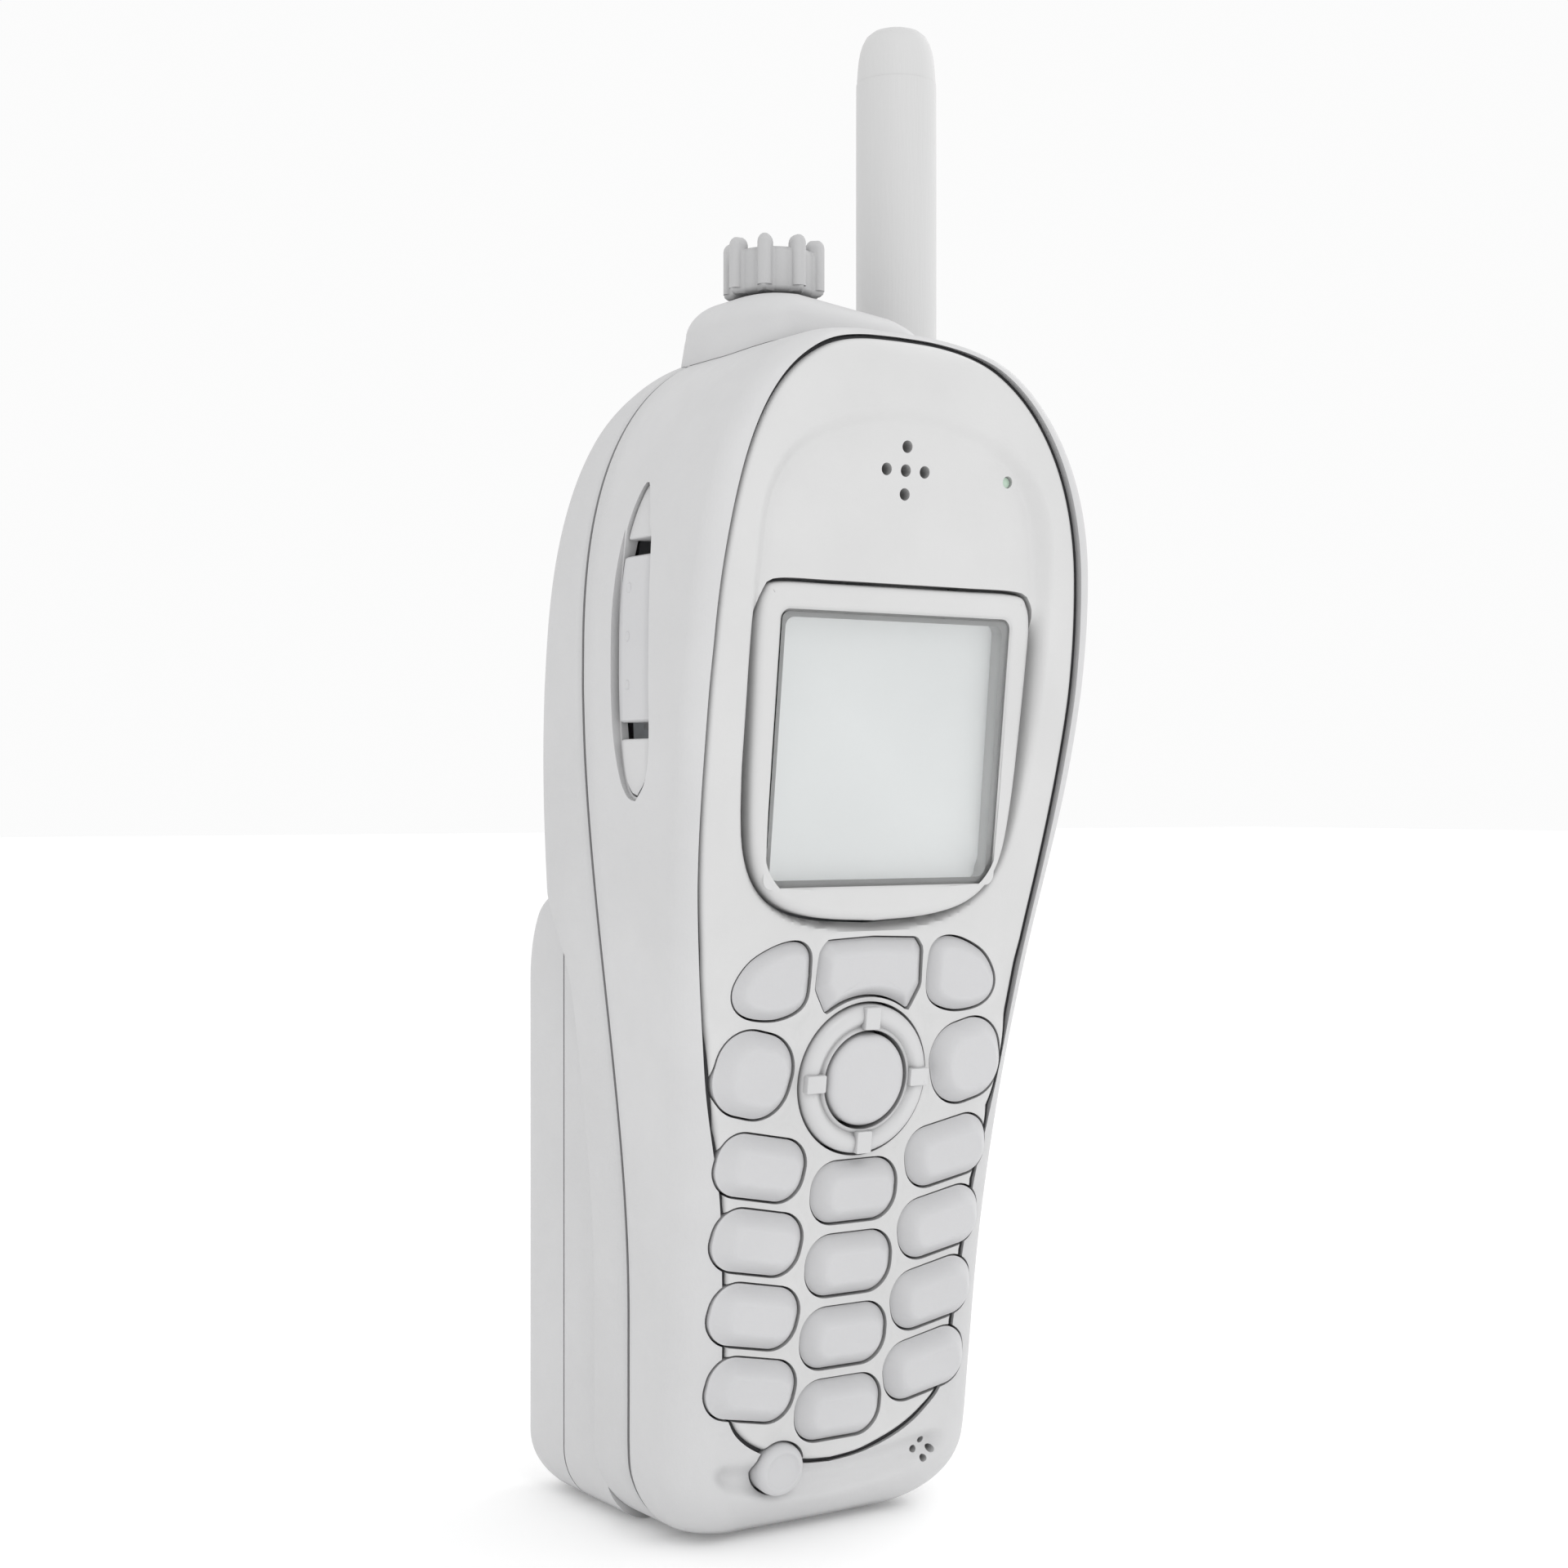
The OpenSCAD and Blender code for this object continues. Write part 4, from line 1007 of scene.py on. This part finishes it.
def material(name, colour, rough, grain=2600, bump=0.12, vary=0.04, metal=0.0, coat=0.0,
             sheen=0.0, crevice_shade=0.35, crevice_shade_reach=0.0022, streaks=False, glass=0.0, painted_glow=0.0):
    """Moulded surface: fine grain, broad tone and gloss changes, and painted shade that darkens
    the crevices.
    """
    m = bpy.data.materials.new(name)
    m.use_nodes = True
    nt = m.node_tree
    b = nt.nodes["Principled BSDF"]
    b.inputs["Metallic"].default_value = metal
    b.inputs["Coat Weight"].default_value = coat
    b.inputs["Coat Roughness"].default_value = 0.2
    b.inputs["Sheen Weight"].default_value = sheen
    b.inputs["IOR"].default_value = 1.47
    b.inputs["Transmission Weight"].default_value = glass
    m.diffuse_color = (*colour, 1)

    def node(kind, **values):
        n = nt.nodes.new(kind)
        for k, v in values.items():
            if k in n.inputs:
                n.inputs[k].default_value = v
            else:
                setattr(n, k, v)
        return n

    co = node("ShaderNodeTexCoord")
    src = co.outputs["Object"]
    if streaks:
        st = node("ShaderNodeMapping", Scale=(1, 1, 0.06))
        nt.links.new(src, st.inputs["Vector"])
        src = st.outputs["Vector"]
    fine = node("ShaderNodeTexNoise", Scale=grain, Detail=3.0, Roughness=0.6)
    broad = node("ShaderNodeTexNoise", Scale=55.0, Detail=4.0, Roughness=0.55)
    mottled = node("ShaderNodeTexNoise", Scale=420.0, Detail=5.0, Roughness=0.65)
    for n in (fine, broad, mottled):
        nt.links.new(src, n.inputs["Vector"])
    gloss = node("ShaderNodeMapRange")
    gloss.inputs["From Min"].default_value = 0.3
    gloss.inputs["From Max"].default_value = 0.7
    gloss.inputs["To Min"].default_value = max(0.02, rough - 0.07)
    gloss.inputs["To Max"].default_value = min(1.0, rough + 0.08)
    nt.links.new(mottled.outputs["Fac"], gloss.inputs["Value"])
    nt.links.new(gloss.outputs["Result"], b.inputs["Roughness"])
    tone = node("ShaderNodeMapRange")
    tone.inputs["From Min"].default_value = 0.3
    tone.inputs["From Max"].default_value = 0.7
    tone.inputs["To Min"].default_value = 1 - vary
    tone.inputs["To Max"].default_value = 1 + vary * 0.4
    nt.links.new(broad.outputs["Fac"], tone.inputs["Value"])
    shade_node = node("ShaderNodeVectorMath", operation="SCALE")
    shade_node.inputs[0].default_value = colour
    nt.links.new(tone.outputs["Result"], shade_node.inputs["Scale"])
    out = shade_node.outputs["Vector"]
    # painted shade: an AO node darkens the colour in crevices and where parts meet
    if crevice_shade:
        ao = node("ShaderNodeAmbientOcclusion", samples=6)
        ao.inputs["Distance"].default_value = crevice_shade_reach
        painted_shade_ramp = node("ShaderNodeMapRange")
        painted_shade_ramp.inputs["From Min"].default_value = 0.25
        painted_shade_ramp.inputs["From Max"].default_value = 0.9
        painted_shade_ramp.inputs["To Min"].default_value = 1 - crevice_shade
        painted_shade_ramp.inputs["To Max"].default_value = 1.0
        nt.links.new(ao.outputs["AO"], painted_shade_ramp.inputs["Value"])
        mul = node("ShaderNodeVectorMath", operation="SCALE")
        nt.links.new(out, mul.inputs[0])
        nt.links.new(painted_shade_ramp.outputs["Result"], mul.inputs["Scale"])
        out = mul.outputs["Vector"]
    nt.links.new(out, b.inputs["Base Color"])
    # painted light: the colour is also emitted, so the part glows though it is no lamp
    if painted_glow:
        nt.links.new(out, b.inputs["Emission Color"])
        b.inputs["Emission Strength"].default_value = painted_glow
    bump_node = node("ShaderNodeBump", Strength=bump, Distance=0.00012)
    nt.links.new(fine.outputs["Fac"], bump_node.inputs["Height"])
    nt.links.new(bump_node.outputs["Normal"], b.inputs["Normal"])
    return m


# Painted shade: unless its value is 0, each material below is darkened in its crevices by the AO
# block in material().
MATS = {
    "housing_plastic": material("housing_plastic", (0.60, 0.60, 0.605), 0.52, 2600, 0.22),
    "rear_plastic": material("rear_plastic", (0.585, 0.585, 0.59), 0.56, 2300, 0.28),
    "faceplate_plastic": material("faceplate_plastic", (0.63, 0.63, 0.63), 0.42, 3400, 0.12),
    "gasket_rubber": material("gasket_rubber", (0.022, 0.022, 0.024), 0.8, 1500, 0.3, crevice_shade=0),
    "lens_glass": material("lens_glass", (0.96, 0.97, 0.97), 0.06, 900, 0.015, 0.01, crevice_shade=0,
                           glass=1.0, coat=0.3),
    # the display panel glows with painted light, so it looks brightly lit behind the glass
    "display_panel": material("display_panel", (0.70, 0.71, 0.71), 0.35, 5200, 0.1, 0.02,
                              crevice_shade=0, painted_glow=0.42),
    "speaker_black": material("speaker_black", (0.03, 0.03, 0.033), 0.6, 1900, 0.3, crevice_shade=0),
    "light_pipe": material("light_pipe", (0.55, 0.7, 0.58), 0.2, 1500, 0.05, crevice_shade=0, coat=0.4),
    "plated_steel": material("plated_steel", (0.6, 0.61, 0.63), 0.32, 1800, 0.15, 0.1, 1.0,
                             crevice_shade=0.3, streaks=True),
    "key_rubber": material("key_rubber", (0.575, 0.575, 0.585), 0.6, 3000, 0.2, 0.035,
                           sheen=0.12, crevice_shade=0.4),
    "ring_plastic": material("ring_plastic", (0.60, 0.60, 0.605), 0.34, 3600, 0.08, coat=0.15,
                             crevice_shade=0.45),
    "knob_plastic": material("knob_plastic", (0.50, 0.50, 0.505), 0.55, 2400, 0.3, crevice_shade=0.45),
    "antenna_rubber": material("antenna_rubber", (0.61, 0.61, 0.61), 0.62, 2100, 0.28,
                               sheen=0.1, crevice_shade=0.3, streaks=True),
    "gold_contact": material("gold_contact", (0.85, 0.62, 0.26), 0.25, 2500, 0.1, 0.08, 1.0,
                             crevice_shade=0.2),
    "chassis_alloy": material("chassis_alloy", (0.45, 0.46, 0.48), 0.45, 1200, 0.4, 0.1, 1.0,
                              crevice_shade=0),
    "circuit_board": material("circuit_board", (0.02, 0.12, 0.06), 0.35, 800, 0.4, 0.2, crevice_shade=0),
    "pack_plastic": material("pack_plastic", (0.59, 0.59, 0.595), 0.56, 2300, 0.28),
    "cell_wrap": material("cell_wrap", (0.1, 0.2, 0.32), 0.3, 900, 0.1, 0.1, crevice_shade=0, coat=0.3),
}
for ob, body, nodes, slot in PIECES:
    ob.data.materials.clear()
    ob.data.materials.append(MATS[slot])
    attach(ob, body)
    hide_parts(*nodes)
used = {n for piece_row in PIECES for n in piece_row[2]}
for part in frame["record"]["subparts"]:
    if part["node"] not in used:
        cad = frame["nodes"][part["node"]]
        cad.data.materials.clear()
        cad.data.materials.append(MATS[part["material_slot"]])


# ---------- floor, light and camera ----------

floor = build("floor", [[-6000, -6000, 0], [6000, -6000, 0], [6000, 6000, 0],
                        [-6000, 6000, 0]], [[0, 1, 2, 3]])
fm = bpy.data.materials.new("floor_white")
fm.use_nodes = True
fb = fm.node_tree.nodes["Principled BSDF"]
fb.inputs["Base Color"].default_value = (0.93, 0.93, 0.93, 1)
fb.inputs["Roughness"].default_value = 0.9
fb.inputs["Emission Color"].default_value = (1, 1, 1, 1)
fb.inputs["Emission Strength"].default_value = 0.12
floor.data.materials.append(fm)

world = bpy.data.worlds.new("studio")
bpy.context.scene.world = world
world.use_nodes = True
world.node_tree.nodes["Background"].inputs["Color"].default_value = (1, 1, 1, 1)
world.node_tree.nodes["Background"].inputs["Strength"].default_value = 0.97


def lamp(name, place, size, power):
    """Square area light aimed at the middle of the phone, in metres and watts."""
    data = bpy.data.lights.new(name, "AREA")
    data.energy = power
    data.size = size
    ob = bpy.data.objects.new(name, data)
    bpy.context.scene.collection.objects.link(ob)
    ob.location = place
    aim = Vector((0, 0, 0.09)) - Vector(place)
    ob.rotation_euler = aim.to_track_quat("-Z", "Y").to_euler()


lamp("key", (-0.1, -0.8, 0.75), 0.45, 1.5)
lamp("rim", (0.55, 0.1, 0.5), 0.4, 0.7)

view = bpy.context.scene.view_settings
view.view_transform = "Standard"
view.exposure = 0.0

cam_data = bpy.data.cameras.new("camera")
cam_data.sensor_width = 36
cam_data.lens = 56.25
cam_data.shift_y = 0.00986
cam = bpy.data.objects.new("camera", cam_data)
bpy.context.scene.collection.objects.link(cam)
cam.location = (-0.1829, -0.27574, 0.0961)
cam.rotation_euler = (math.pi / 2, 0, -math.radians(33.777))
bpy.context.scene.camera = cam
